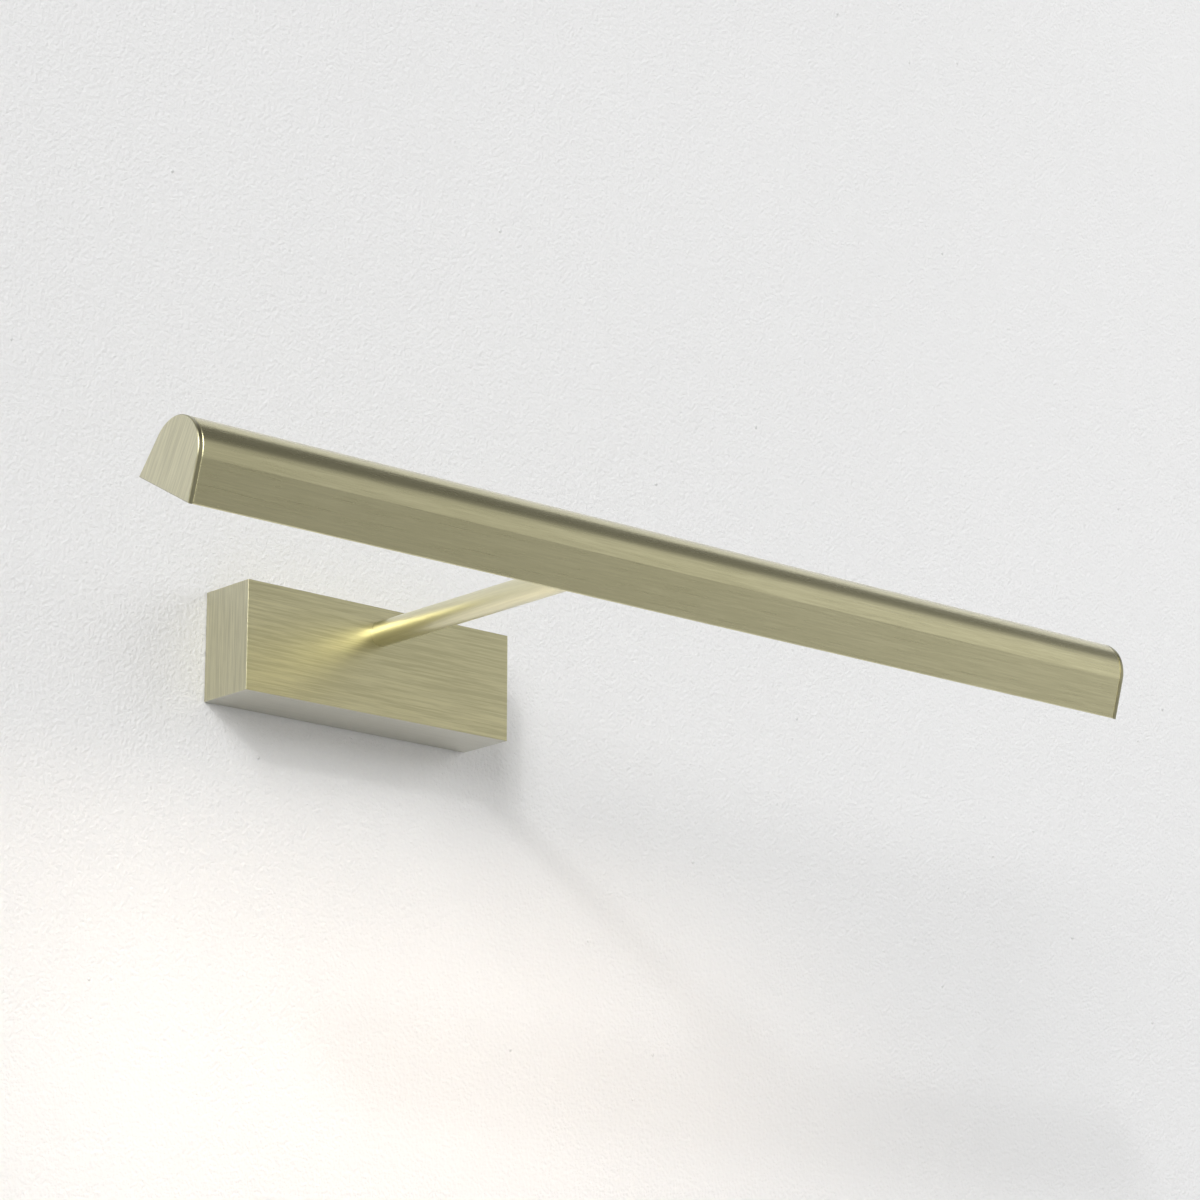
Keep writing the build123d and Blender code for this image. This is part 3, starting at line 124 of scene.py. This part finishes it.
class Finish:
    """A procedural material under construction, around one Principled shader."""

    def __init__(self, name):
        self.material = bpy.data.materials.new(name)
        self.material.use_nodes = True
        self.tree = self.material.node_tree
        self.shader = self.tree.nodes["Principled BSDF"]
        self.output = self.tree.nodes["Material Output"]

    def node(self, kind, **settings):
        made = self.tree.nodes.new(kind)
        for key, value in settings.items():
            setattr(made, key, value)
        return made

    def link(self, source, target):
        self.tree.links.new(source, target)

    def feed(self, socket, value):
        """Gives a socket a number, a colour or another node's result."""
        if isinstance(value, bpy.types.NodeSocket):
            self.link(value, socket)
        elif isinstance(value, tuple):
            socket.default_value = (*value, 1.0) if socket.type == "RGBA" else value
        else:
            socket.default_value = value

    def set(self, **values):
        """Feeds the shader's own sockets, as Roughness=0.4; an underscore stands for a space."""
        for key, value in values.items():
            self.feed(self.shader.inputs[key.replace("_", " ")], value)

    def place(self, scale, turn=0.0):
        """Object coordinates, turned about X and then stretched."""
        coords = self.node("ShaderNodeTexCoord")
        turned = self.node("ShaderNodeMapping")
        self.feed(turned.inputs["Rotation"], (turn, 0.0, 0.0))
        self.link(coords.outputs["Object"], turned.inputs["Vector"])
        stretched = self.node("ShaderNodeMapping")
        self.feed(stretched.inputs["Scale"], scale)
        self.link(turned.outputs["Vector"], stretched.inputs["Vector"])
        return stretched.outputs["Vector"]

    def noise(self, scale, detail=2.0, roughness=0.5, turn=0.0):
        """Fractal noise with its own number of features per metre along each axis."""
        made = self.node("ShaderNodeTexNoise")
        self.feed(made.inputs["Scale"], 1.0)
        self.feed(made.inputs["Detail"], detail)
        self.feed(made.inputs["Roughness"], roughness)
        self.link(self.place(scale, turn), made.inputs["Vector"])
        return made.outputs["Fac"]

    def cells(self, scale, output="Distance", feature="F1"):
        """Voronoi cells with their own number per metre along each axis."""
        made = self.node("ShaderNodeTexVoronoi", feature=feature)
        self.feed(made.inputs["Scale"], 1.0)
        self.link(self.place(scale), made.inputs["Vector"])
        return made.outputs[output]

    def stripes(self, axis, period, turn=0.0):
        """Smooth stripes across an axis, one per period, from 0 to 1."""
        split = self.node("ShaderNodeSeparateXYZ")
        self.link(self.place((1.0, 1.0, 1.0), turn), split.inputs[0])
        wave = self.math("SINE", self.math("MULTIPLY", split.outputs[axis], tau / period))
        return self.spread(wave, -1.0, 1.0)

    def math(self, operation, a, b=0.0):
        made = self.node("ShaderNodeMath", operation=operation)
        self.feed(made.inputs[0], a)
        self.feed(made.inputs[1], b)
        return made.outputs[0]

    def spread(self, value, low, high, to_low=0.0, to_high=1.0):
        """Maps the stretch low..high of a value to to_low..to_high, clamped."""
        made = self.node("ShaderNodeMapRange")
        self.link(value, made.inputs["Value"])
        for key, number in zip(("From Min", "From Max", "To Min", "To Max"), (low, high, to_low, to_high)):
            self.feed(made.inputs[key], number)
        return made.outputs["Result"]

    def mix(self, factor, a, b):
        """A colour between a and b."""
        made = self.node("ShaderNodeMix", data_type="RGBA")
        factor_in, first, second = (s for s in made.inputs if s.enabled)
        self.feed(factor_in, factor)
        self.feed(first, a)
        self.feed(second, b)
        return next(s for s in made.outputs if s.enabled)

    def between(self, factor, a, b):
        """A number between a and b."""
        return self.math("ADD", self.math("MULTIPLY", factor, self.math("SUBTRACT", b, a)), a)

    def normal(self, axis):
        """One component of the surface's direction, from -1 to 1."""
        coords = self.node("ShaderNodeTexCoord")
        split = self.node("ShaderNodeSeparateXYZ")
        self.link(coords.outputs["Normal"], split.inputs[0])
        return split.outputs[axis]

    def facing(self, axis, sign=0):
        """1 where the surface looks along an axis, either way or only towards sign; 0 elsewhere."""
        along = self.normal(axis)
        along = self.math("MULTIPLY", along, sign) if sign else self.math("ABSOLUTE", along)
        return self.math("GREATER_THAN", along, FACING)

    def worn_edges(self, radius, grain):
        """1 on rubbed edges, lightened as rubbed brass and as a painted highlight, uneven along them, and
        0 on open faces.
        """
        bevel = self.node("ShaderNodeBevel", samples=6)
        self.feed(bevel.inputs["Radius"], radius)
        geometry = self.node("ShaderNodeNewGeometry")
        dot = self.node("ShaderNodeVectorMath", operation="DOT_PRODUCT")
        self.link(bevel.outputs["Normal"], dot.inputs[0])
        self.link(geometry.outputs["Normal"], dot.inputs[1])
        edge = self.spread(dot.outputs["Value"], EDGE_SHARP, EDGE_OPEN, 1.0, 0.0)
        rub_and_highlight = self.noise((110.0, 110.0, 110.0), detail=3.0)
        rub_and_highlight = self.math("ADD", self.math("MULTIPLY", rub_and_highlight, 0.7), self.math("MULTIPLY", grain, 0.3))
        return self.math("MULTIPLY", edge, self.spread(rub_and_highlight, 0.30, 0.62, 0.25, 1.0))

    def bump(self, height, distance, strength=1.0):
        made = self.node("ShaderNodeBump")
        self.feed(made.inputs["Strength"], strength)
        self.feed(made.inputs["Distance"], distance)
        self.link(height, made.inputs["Height"])
        self.link(made.outputs["Normal"], self.shader.inputs["Normal"])


def scaled(colour, *factors):
    """A colour times one factor, or times one for each of red, green and blue."""
    return tuple(c * k for c, k in zip(colour, factors * 3 if len(factors) == 1 else factors))


def brush_lines(finish, axis, turn, reach, fine_share=FINE_SHARE):
    """Brush lines along one axis: fine hairlines, and fainter bands where the brush pressed more."""
    def stretch(across, along):
        return tuple(along if i == axis else across for i in range(3))

    fine = finish.noise(stretch(FINE_ACROSS, FINE_ALONG), detail=3.0, roughness=0.70, turn=turn)
    broad = finish.noise(stretch(BROAD_ACROSS, BROAD_ALONG), detail=2.0, turn=turn)
    both = finish.math("ADD", finish.math("MULTIPLY", fine, fine_share),
                       finish.math("MULTIPLY", broad, 1.0 - fine_share))
    return finish.spread(both, 0.5 - reach, 0.5 + reach)


def brass_tone(finish, grain, bright, pale, painted_side_tone, painted_rim_shade, painted_underside_reflection):
    """The metal's colour: light lines on dark, a slow patina, then painted light and shade by facing: a
    painted tone on the sides, a painted shade on the rim and a painted reflection on the underside.
    """
    tone = finish.mix(grain, scaled(BRASS_DARK, bright), scaled(BRASS_LIGHT, bright))
    patina = finish.spread(finish.noise(PATINA_SCALE, detail=3.0), 0.35, 0.70, 0.0, 0.30)
    tone = finish.mix(patina, tone, scaled(BRASS_DARK, bright, bright, 0.9 * bright))
    if pale:
        tone = finish.mix(pale, tone, scaled(BRASS_PALE, bright))
    # Painted light and shade: faces across X get their own tone, a painted shade on the box and a painted
    # reflection on the end caps.
    if painted_side_tone:
        lined = finish.mix(grain, scaled(painted_side_tone, SIDE_DARK), scaled(painted_side_tone, SIDE_LIGHT))
        tone = finish.mix(finish.math("MULTIPLY", finish.facing(0), PAINTED_SIDE_SHARE), tone, lined)
    # Painted shade: faces that don't look along X are painted darker.
    if painted_rim_shade:
        rim = finish.math("MULTIPLY", finish.math("SUBTRACT", 1.0, finish.facing(0)), painted_rim_shade)
        tone = finish.mix(rim, tone, scaled(BRASS_DARK, RIM_PAINTED_SHADE))
    # Painted reflection: faces that look down are painted a paler brass.
    if painted_underside_reflection:
        under = finish.math("MULTIPLY", finish.facing(2, -1), painted_underside_reflection)
        tone = finish.mix(under, tone, BRASS_UNDERSIDE_REFLECTION)
    return tone


def stretch_highlights(finish, axis, side_axis, streak):
    """Draws the highlights out across the brush lines, whichever way each face is brushed."""
    along = finish.node("ShaderNodeCombineXYZ")
    if side_axis is None:
        finish.feed(along.inputs[axis], 1.0)
    else:
        sides = finish.facing(0)
        finish.feed(along.inputs[axis], finish.math("SUBTRACT", 1.0, sides))
        finish.feed(along.inputs[side_axis], sides)
    finish.set(Tangent=along.outputs[0], Anisotropic=streak, Anisotropic_Rotation=0.25)


def brushed_brass(name, roughness, axis, side_axis=None, turn=0.0, reach=0.13, rub_and_highlight=0.6, streak=0.0,
                  bright=1.0, pale=0.0, painted_side_tone=None, painted_rim_shade=0.0, painted_underside_reflection=0.0):
    """Satin brass under clear lacquer, brushed along axis.

    Faces across X may be brushed along side_axis and have a painted_side_tone, painted light and shade by
    the way they face. A longer reach makes quieter brush lines, rub_and_highlight is the rubbing and
    painted highlight of the edges that don't look up, and streak draws the highlights out.
    """
    finish = Finish(name)
    grain = brush_lines(finish, axis, turn, reach)
    if side_axis is not None:
        side_grain = brush_lines(finish, side_axis, turn, reach, fine_share=1.0)
        grain = finish.between(finish.facing(0), grain, side_grain)
    tone = brass_tone(finish, grain, bright, pale, painted_side_tone, painted_rim_shade, painted_underside_reflection)
    # Edges that don't look up are lightened: rubbing, and a painted highlight.
    rubbing_and_highlight_by_facing = finish.spread(finish.normal(2), 0.15, 0.50, rub_and_highlight, 0.0)
    rubbed_and_highlit = finish.math("MULTIPLY", finish.worn_edges(EDGE_RADIUS, grain), rubbing_and_highlight_by_facing)
    satin = finish.spread(grain, 0.0, 1.0, roughness + BRUSH_SATIN, roughness - BRUSH_SATIN)
    finish.set(Base_Color=finish.mix(rubbed_and_highlit, tone, BRASS_RUBBED_HIGHLIGHT), Metallic=1.0)
    finish.set(Roughness=finish.math("SUBTRACT", satin, finish.math("MULTIPLY", rubbed_and_highlit, EDGE_POLISH)))
    finish.set(Coat_Weight=LACQUER, Coat_Roughness=LACQUER_ROUGHNESS)
    if streak:
        stretch_highlights(finish, axis, side_axis, streak)
    finish.bump(grain, BRUSH_DEPTH)
    return finish


def shade_brass(name):
    return brushed_brass(name, 0.25, axis=0, reach=0.19, rub_and_highlight=0.55)


def cover_brass(name):
    # The box's sides carry a painted shade and its underside a painted reflection.
    return brushed_brass(name, 0.34, axis=0, side_axis=2, reach=0.11, rub_and_highlight=0.25, streak=0.4,
                         painted_side_tone=scaled(BRASS_PALE, 0.74), painted_underside_reflection=0.9)


def cap_brass(name):
    # The end caps' faces carry a painted reflection and their rims a painted shade.
    return brushed_brass(name, 0.34, axis=2, turn=-REST_TILT, rub_and_highlight=0.15,
                         painted_side_tone=BRASS_PALE, painted_rim_shade=0.75)


def arm_brass(name):
    return brushed_brass(name, 0.37, axis=1, streak=0.65, bright=BRASS_BRIGHT, pale=0.50)


def fitting_brass(name):
    return brushed_brass(name, 0.28, axis=0)


def contact_brass(name):
    """Machined terminal brass: faint turning rings and a duller film of oxide."""
    finish = Finish(name)
    rings = finish.stripes(2, 0.0004)
    film = finish.noise((420.0, 420.0, 420.0), detail=4.0)
    tone = finish.mix(finish.spread(film, 0.35, 0.70), (0.80, 0.62, 0.30), (0.62, 0.46, 0.22))
    finish.set(Base_Color=tone, Metallic=1.0, Roughness=finish.spread(film, 0.3, 0.7, 0.24, 0.40))
    finish.bump(rings, 0.000012, 0.5)
    return finish


def plated(name, bright, dull, roughness, spangle):
    """Zinc or tin plating: crystals of slightly different grey, with fine pits."""
    finish = Finish(name)
    crystals = finish.node("ShaderNodeSeparateColor")
    finish.link(finish.cells((spangle,) * 3, "Color"), crystals.inputs[0])
    pits = finish.noise((2600.0,) * 3, detail=3.0)
    tone = finish.mix(crystals.outputs[0], bright, dull)
    tone = finish.mix(finish.spread(pits, 0.30, 0.44, 0.5, 0.0), tone, scaled(dull, 0.6))
    finish.set(Base_Color=tone, Metallic=1.0)
    finish.set(Roughness=finish.spread(crystals.outputs[0], 0.0, 1.0, roughness - 0.05, roughness + 0.08))
    finish.bump(pits, 0.00001, 0.6)
    return finish


def tinned_contact(name):
    return plated(name, (0.80, 0.79, 0.76), (0.70, 0.69, 0.66), 0.30, 900.0)


def galvanised_steel(name):
    return plated(name, (0.66, 0.67, 0.69), (0.50, 0.51, 0.53), 0.38, 190.0)


def zinc_screw(name):
    return plated(name, (0.74, 0.74, 0.72), (0.60, 0.61, 0.60), 0.28, 1500.0)


def moulded(name, colour, roughness, grain=1500.0, relief=0.00003, streak=0.0):
    """Moulded plastic or rubber: a fine spark-eroded grain, with slow flow marks in its colour."""
    finish = Finish(name)
    spark = finish.noise((grain,) * 3, detail=4.0, roughness=0.6)
    flow = finish.noise((24.0, 60.0, 60.0), detail=2.0)
    tone = finish.mix(finish.spread(flow, 0.3, 0.7), scaled(colour, 0.88), colour)
    tone = finish.mix(finish.spread(spark, 0.36, 0.50, 0.35, 0.0), tone, scaled(colour, 0.6))
    finish.set(Base_Color=tone)
    finish.set(Roughness=finish.spread(spark, 0.3, 0.7, roughness - 0.07, roughness + 0.07))
    height = spark
    if streak:
        height = finish.between(streak, spark, finish.noise((1900.0, 60.0, 1900.0), detail=2.0))
    finish.bump(height, relief, 0.7)
    return finish


def black_plastic(name):
    return moulded(name, (0.022, 0.022, 0.024), 0.46)


def black_rubber(name):
    return moulded(name, (0.017, 0.017, 0.017), 0.72, grain=1100.0, relief=0.00005)


def driver_plastic(name):
    return moulded(name, (0.60, 0.60, 0.59), 0.44, grain=1300.0)


def terminal_plastic(name):
    return moulded(name, (0.70, 0.69, 0.64), 0.34, grain=1800.0, relief=0.00002)


def washer_nylon(name):
    finish = moulded(name, (0.82, 0.80, 0.74), 0.38, grain=2200.0, relief=0.00001)
    finish.set(Subsurface_Weight=0.25, Subsurface_Radius=(0.002, 0.0016, 0.0012))
    return finish


def insulation(name, colour, stripe=None):
    """PVC wire insulation with faint drawing lines; the earth wire has a second colour along it."""
    finish = moulded(name, colour, 0.36, grain=2400.0, relief=0.000015, streak=0.6)
    if stripe:
        band = finish.math("GREATER_THAN", finish.stripes(2, 0.0042, turn=0.6), 0.72)
        base = finish.shader.inputs["Base Color"].links[0].from_socket
        finish.set(Base_Color=finish.mix(band, base, stripe))
    return finish


def live_insulation(name):
    return insulation(name, (0.21, 0.085, 0.035))


def neutral_insulation(name):
    return insulation(name, (0.035, 0.14, 0.42))


def earth_insulation(name):
    return insulation(name, (0.10, 0.36, 0.09), stripe=(0.72, 0.62, 0.05))


def lead_sheath(name):
    return insulation(name, (0.55, 0.545, 0.53))


def circuit_board(name):
    """Green solder mask over a glass weave, with darker copper-free channels."""
    finish = Finish(name)
    weave = finish.math("MULTIPLY", finish.stripes(0, 0.0007), finish.stripes(2, 0.0007))
    tracks = finish.cells((260.0, 260.0, 260.0), feature="DISTANCE_TO_EDGE")
    tone = finish.mix(finish.spread(tracks, 0.05, 0.09), (0.012, 0.085, 0.035), (0.020, 0.160, 0.060))
    tone = finish.mix(finish.math("MULTIPLY", weave, 0.22), tone, (0.05, 0.24, 0.10))
    finish.set(Base_Color=tone, Roughness=finish.spread(weave, 0.0, 1.0, 0.26, 0.36))
    finish.bump(finish.spread(tracks, 0.05, 0.10), 0.00003, 0.6)
    return finish


def ferrite(name):
    """Pressed ferrite: dark, matt and granular, with a few glinting crystals."""
    finish = Finish(name)
    grains = finish.noise((1700.0,) * 3, detail=4.0, roughness=0.7)
    tone = finish.mix(finish.spread(grains, 0.35, 0.68), (0.035, 0.035, 0.038), (0.085, 0.082, 0.080))
    finish.set(Base_Color=tone, Roughness=finish.spread(grains, 0.55, 0.70, 0.70, 0.35))
    finish.bump(grains, 0.00006, 0.8)
    return finish


def copper_winding(name):
    """Enamelled copper wire, wound in turns a third of a millimetre apart."""
    finish = Finish(name)
    turns = finish.stripes(0, 0.00034)
    shade = finish.noise((300.0, 90.0, 90.0), detail=3.0)
    tone = finish.mix(finish.spread(shade, 0.3, 0.7), (0.52, 0.20, 0.075), (0.70, 0.31, 0.13))
    # Painted shade: the gaps between the turns are painted dark.
    tone = finish.mix(finish.spread(turns, 0.0, 0.35, 0.7, 0.0), tone, (0.16, 0.06, 0.03))
    finish.set(Base_Color=tone, Metallic=0.8, Roughness=0.30, Coat_Weight=0.5, Coat_Roughness=0.12)
    finish.bump(turns, 0.00010, 0.8)
    return finish


def capacitor_sleeve(name):
    """Heat-shrunk sleeve: a thin gloss film that puckers slightly round the can."""
    finish = Finish(name)
    pucker = finish.noise((240.0, 240.0, 900.0), detail=3.0)
    tone = finish.mix(finish.spread(pucker, 0.3, 0.7), (0.020, 0.026, 0.060), (0.035, 0.045, 0.095))
    finish.set(Base_Color=tone, Roughness=finish.spread(pucker, 0.3, 0.7, 0.18, 0.30))
    finish.bump(pucker, 0.00005, 0.5)
    return finish


def carrier_aluminium(name):
    """Mill-finish extruded aluminium, with die lines along X."""
    finish = Finish(name)
    die = finish.noise((7.0, 1500.0, 1500.0), detail=3.0, roughness=0.6)
    haze = finish.noise((60.0, 160.0, 160.0), detail=3.0)
    tone = finish.mix(die, (0.70, 0.70, 0.71), (0.84, 0.84, 0.85))
    tone = finish.mix(finish.spread(haze, 0.40, 0.75, 0.0, 0.35), tone, (0.60, 0.60, 0.61))
    finish.set(Base_Color=tone, Metallic=1.0, Roughness=finish.spread(haze, 0.3, 0.7, 0.28, 0.42))
    finish.bump(die, 0.00001, 0.7)
    return finish


def led_board_white(name):
    """White solder mask, with broad tracks that show faintly through it."""
    finish = Finish(name)
    tracks = finish.math("GREATER_THAN", finish.stripes(0, 0.012), 0.30)
    speck = finish.noise((1500.0,) * 3, detail=3.0)
    tone = finish.mix(finish.math("MULTIPLY", tracks, 0.5), (0.74, 0.74, 0.72), (0.84, 0.835, 0.81))
    finish.set(Base_Color=tone, Roughness=finish.spread(speck, 0.3, 0.7, 0.30, 0.42))
    finish.bump(finish.math("ADD", tracks, finish.math("MULTIPLY", speck, 0.3)), 0.00003, 0.5)
    return finish


def led_phosphor(name):
    """Yellow phosphor in clear resin, bright when lit."""
    finish = Finish(name)
    grains = finish.cells((3200.0,) * 3)
    tone = finish.mix(finish.spread(grains, 0.1, 0.7), (0.86, 0.62, 0.10), (0.92, 0.74, 0.22))
    finish.set(Base_Color=tone, Roughness=0.22, Emission_Color=(1.0, 0.82, 0.55), Emission_Strength=6.0)
    finish.bump(grains, 0.00003, 0.5)
    return finish


def opal_diffuser(name):
    """Opal acrylic, lit from behind, slightly cloudy, with faint extrusion lines."""
    finish = Finish(name)
    cloud = finish.noise((60.0, 160.0, 160.0), detail=3.0)
    lines = finish.noise((5.0, 900.0, 900.0), detail=2.0)
    tone = finish.mix(finish.spread(cloud, 0.3, 0.7), (0.86, 0.855, 0.83), (0.92, 0.915, 0.90))
    finish.set(Base_Color=tone, Roughness=finish.spread(cloud, 0.3, 0.7, 0.38, 0.50))
    glow = finish.mix(finish.spread(cloud, 0.3, 0.7), LAMP_CLOUDY, LAMP_CLEAR)
    finish.set(Emission_Color=glow, Emission_Strength=LAMP_GLOW)
    finish.bump(lines, 0.00001, 0.5)
    return finish


FINISHES = (
    shade_brass, cap_brass, cover_brass, arm_brass, fitting_brass, contact_brass, tinned_contact,
    galvanised_steel, zinc_screw, black_plastic, black_rubber, driver_plastic, terminal_plastic,
    washer_nylon, circuit_board, ferrite, copper_winding, capacitor_sleeve, live_insulation,
    neutral_insulation, earth_insulation, lead_sheath, carrier_aluminium, led_board_white,
    led_phosphor, opal_diffuser,
)


def apply_finishes():
    """Makes each of the record's slots once, from the function of that name, and dresses its nodes."""
    made = {build.__name__: build(build.__name__).material for build in FINISHES}
    for row in frame["record"]["subparts"]:
        for slot in frame["nodes"][row["node"]].material_slots:
            slot.link = "DATA"
            slot.material = made[row["material_slot"]]


# ---------------------------------------------------------------- stage

def stage_finish(name, colour, grain, relief, chips=0.0):
    """A matt surface that is clear from behind, so that every side of the light can be seen."""
    finish = Finish(name)
    rough = finish.noise((grain,) * 3, detail=5.0, roughness=0.62)
    slow = finish.noise((5.0,) * 3, detail=2.0)
    tone = finish.mix(finish.spread(slow, 0.3, 0.7), scaled(colour, 0.985), colour)
    finish.set(Base_Color=tone, Roughness=0.9, Specular_IOR_Level=0.1)
    height = rough
    if chips:
        pips = finish.spread(finish.cells((chips,) * 3), 0.0, CHIP_WIDTH, CHIP_HEIGHT, 0.0)
        height = finish.math("ADD", rough, pips)
    finish.bump(height, relief, 0.5)
    clear = finish.node("ShaderNodeBsdfTransparent")
    side = finish.node("ShaderNodeNewGeometry")
    either = finish.node("ShaderNodeMixShader")
    finish.link(side.outputs["Backfacing"], either.inputs[0])
    finish.link(finish.shader.outputs[0], either.inputs[1])
    finish.link(clear.outputs[0], either.inputs[2])
    finish.link(either.outputs[0], finish.output.inputs["Surface"])
    return finish.material


def stage_sheet(name, across, upward, point, material, leave_out=()):
    """A flat sheet of cells between the given steps, some of them left open."""
    corners = [point(a, b) for b in upward for a in across]
    row = len(across)
    steps = [(i, j) for j in range(len(upward) - 1) for i in range(row - 1) if (i, j) not in leave_out]
    firsts = [j * row + i for i, j in steps]
    faces = [(first, first + 1, first + row + 1, first + row) for first in firsts]
    mesh = bpy.data.meshes.new(name)
    mesh.from_pydata(corners, [], faces)
    mesh.materials.append(material)
    sheet = bpy.data.objects.new(name, mesh)
    bpy.context.scene.collection.objects.link(sheet)


def build_stage():
    plaster = stage_finish("stage_plaster", WALL_COLOUR, PLASTER_GRAIN, PLASTER_RELIEF, PLASTER_CHIPS)
    paint = stage_finish("stage_floor_paint", FLOOR_COLOUR, PAINT_GRAIN, PAINT_RELIEF)
    stage_sheet("stage_wall", (-ROOM_HALF, -OPENING_X, OPENING_X, ROOM_HALF),
                (FLOOR_Z, -OPENING_Z, OPENING_Z, ROOM_HALF),
                lambda x, z: (x, WALL_GAP, z), plaster, leave_out={(1, 1)})
    stage_sheet("stage_floor", (-ROOM_HALF, ROOM_HALF), (-2.0 * ROOM_HALF, WALL_GAP),
                lambda x, y: (x, y, FLOOR_Z), paint)


# ---------------------------------------------------------------- light and camera

def area_light(name, place, towards, size, power, colour=STUDIO_COLOUR):
    data = bpy.data.lights.new(name, "AREA")
    data.shape = "RECTANGLE"
    data.size, data.size_y = size
    data.energy = power
    data.color = colour
    light = bpy.data.objects.new(name, data)
    light.location = place
    light.rotation_euler = towards.to_track_quat("-Z", "Y").to_euler()
    bpy.context.scene.collection.objects.link(light)
    return light


def brightness_curve(tree, direction, steps):
    """Brightness along one axis of a direction, from (position, brightness) steps over -1..1."""
    place = tree.nodes.new("ShaderNodeMapRange")
    place.inputs["From Min"].default_value = -1.0
    tree.links.new(direction, place.inputs["Value"])
    ramp = tree.nodes.new("ShaderNodeValToRGB")
    ramp.color_ramp.interpolation = "EASE"
    tree.links.new(place.outputs[0], ramp.inputs[0])
    stops = ramp.color_ramp.elements
    while len(stops) < len(steps):
        stops.new(0.5)
    for stop, (position, grey) in zip(stops, steps):
        stop.position = (position + 1.0) / 2.0
        stop.color = (grey, grey, grey, 1.0)
    return ramp.outputs[0]


def build_room():
    """Pale surroundings whose brightness varies with height and from side to side."""
    world = bpy.data.worlds.new("studio")
    bpy.context.scene.world = world
    world.use_nodes = True
    tree = world.node_tree
    split = tree.nodes.new("ShaderNodeSeparateXYZ")
    tree.links.new(tree.nodes.new("ShaderNodeTexCoord").outputs["Generated"], split.inputs[0])
    background = tree.nodes["Background"]
    tree.links.new(brightness_curve(tree, split.outputs[2], ROOM_BY_HEIGHT), background.inputs["Color"])
    tree.links.new(brightness_curve(tree, split.outputs[0], ROOM_BY_SIDE), background.inputs["Strength"])


def build_lights():
    build_room()
    key = KEY_DIRECTION.normalized() * KEY_DISTANCE
    area_light("softbox_key", key, -key, KEY_SIZE, KEY_POWER)
    core = CORE_DIRECTION.normalized() * KEY_DISTANCE
    area_light("lamp_key", core, -core, CORE_SIZE, CORE_POWER)
    side = FILL_DIRECTION.normalized() * FILL_DISTANCE
    fill = area_light("softbox_fill", side, -side, FILL_SIZE, FILL_POWER)
    fill.visible_glossy = False


def build_lamp():
    """The light that leaves the diffuser, in the beam that the shade lets out. It tilts with the head."""
    low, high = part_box("diffuser")
    middle = (Vector(low) + Vector(high)) / 2.0
    down = Vector((0.0, sin(REST_TILT), -cos(REST_TILT)))
    length = high[0] - low[0]
    size = (length * LAMP_SHARE, LAMP_WIDTH)
    lamp = area_light("lamp_beam", middle + down * LAMP_GAP, down, size, LAMP_POWER, LAMP_COLOUR)
    lamp.data.spread = LAMP_SPREAD
    lamp.visible_camera = False
    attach(lamp, "head")


def build_camera():
    azimuth, elevation = radians(VIEW_AZIMUTH), radians(VIEW_ELEVATION)
    back = Vector((sin(azimuth) * cos(elevation), -cos(azimuth) * cos(elevation), sin(elevation)))
    data = bpy.data.cameras.new("camera")
    data.lens, data.sensor_width = LENS_MM, SENSOR_MM
    camera = bpy.data.objects.new("camera", data)
    camera.location = VIEW_AIM + back * VIEW_DISTANCE
    camera.rotation_mode = "QUATERNION"
    camera.rotation_quaternion = (-back).to_track_quat("-Z", "Y")
    bpy.context.scene.collection.objects.link(camera)
    bpy.context.scene.camera = camera


build_camera()
apply_finishes()
build_stage()
build_lights()
build_lamp()
bpy.context.scene.view_settings.view_transform = "Standard"
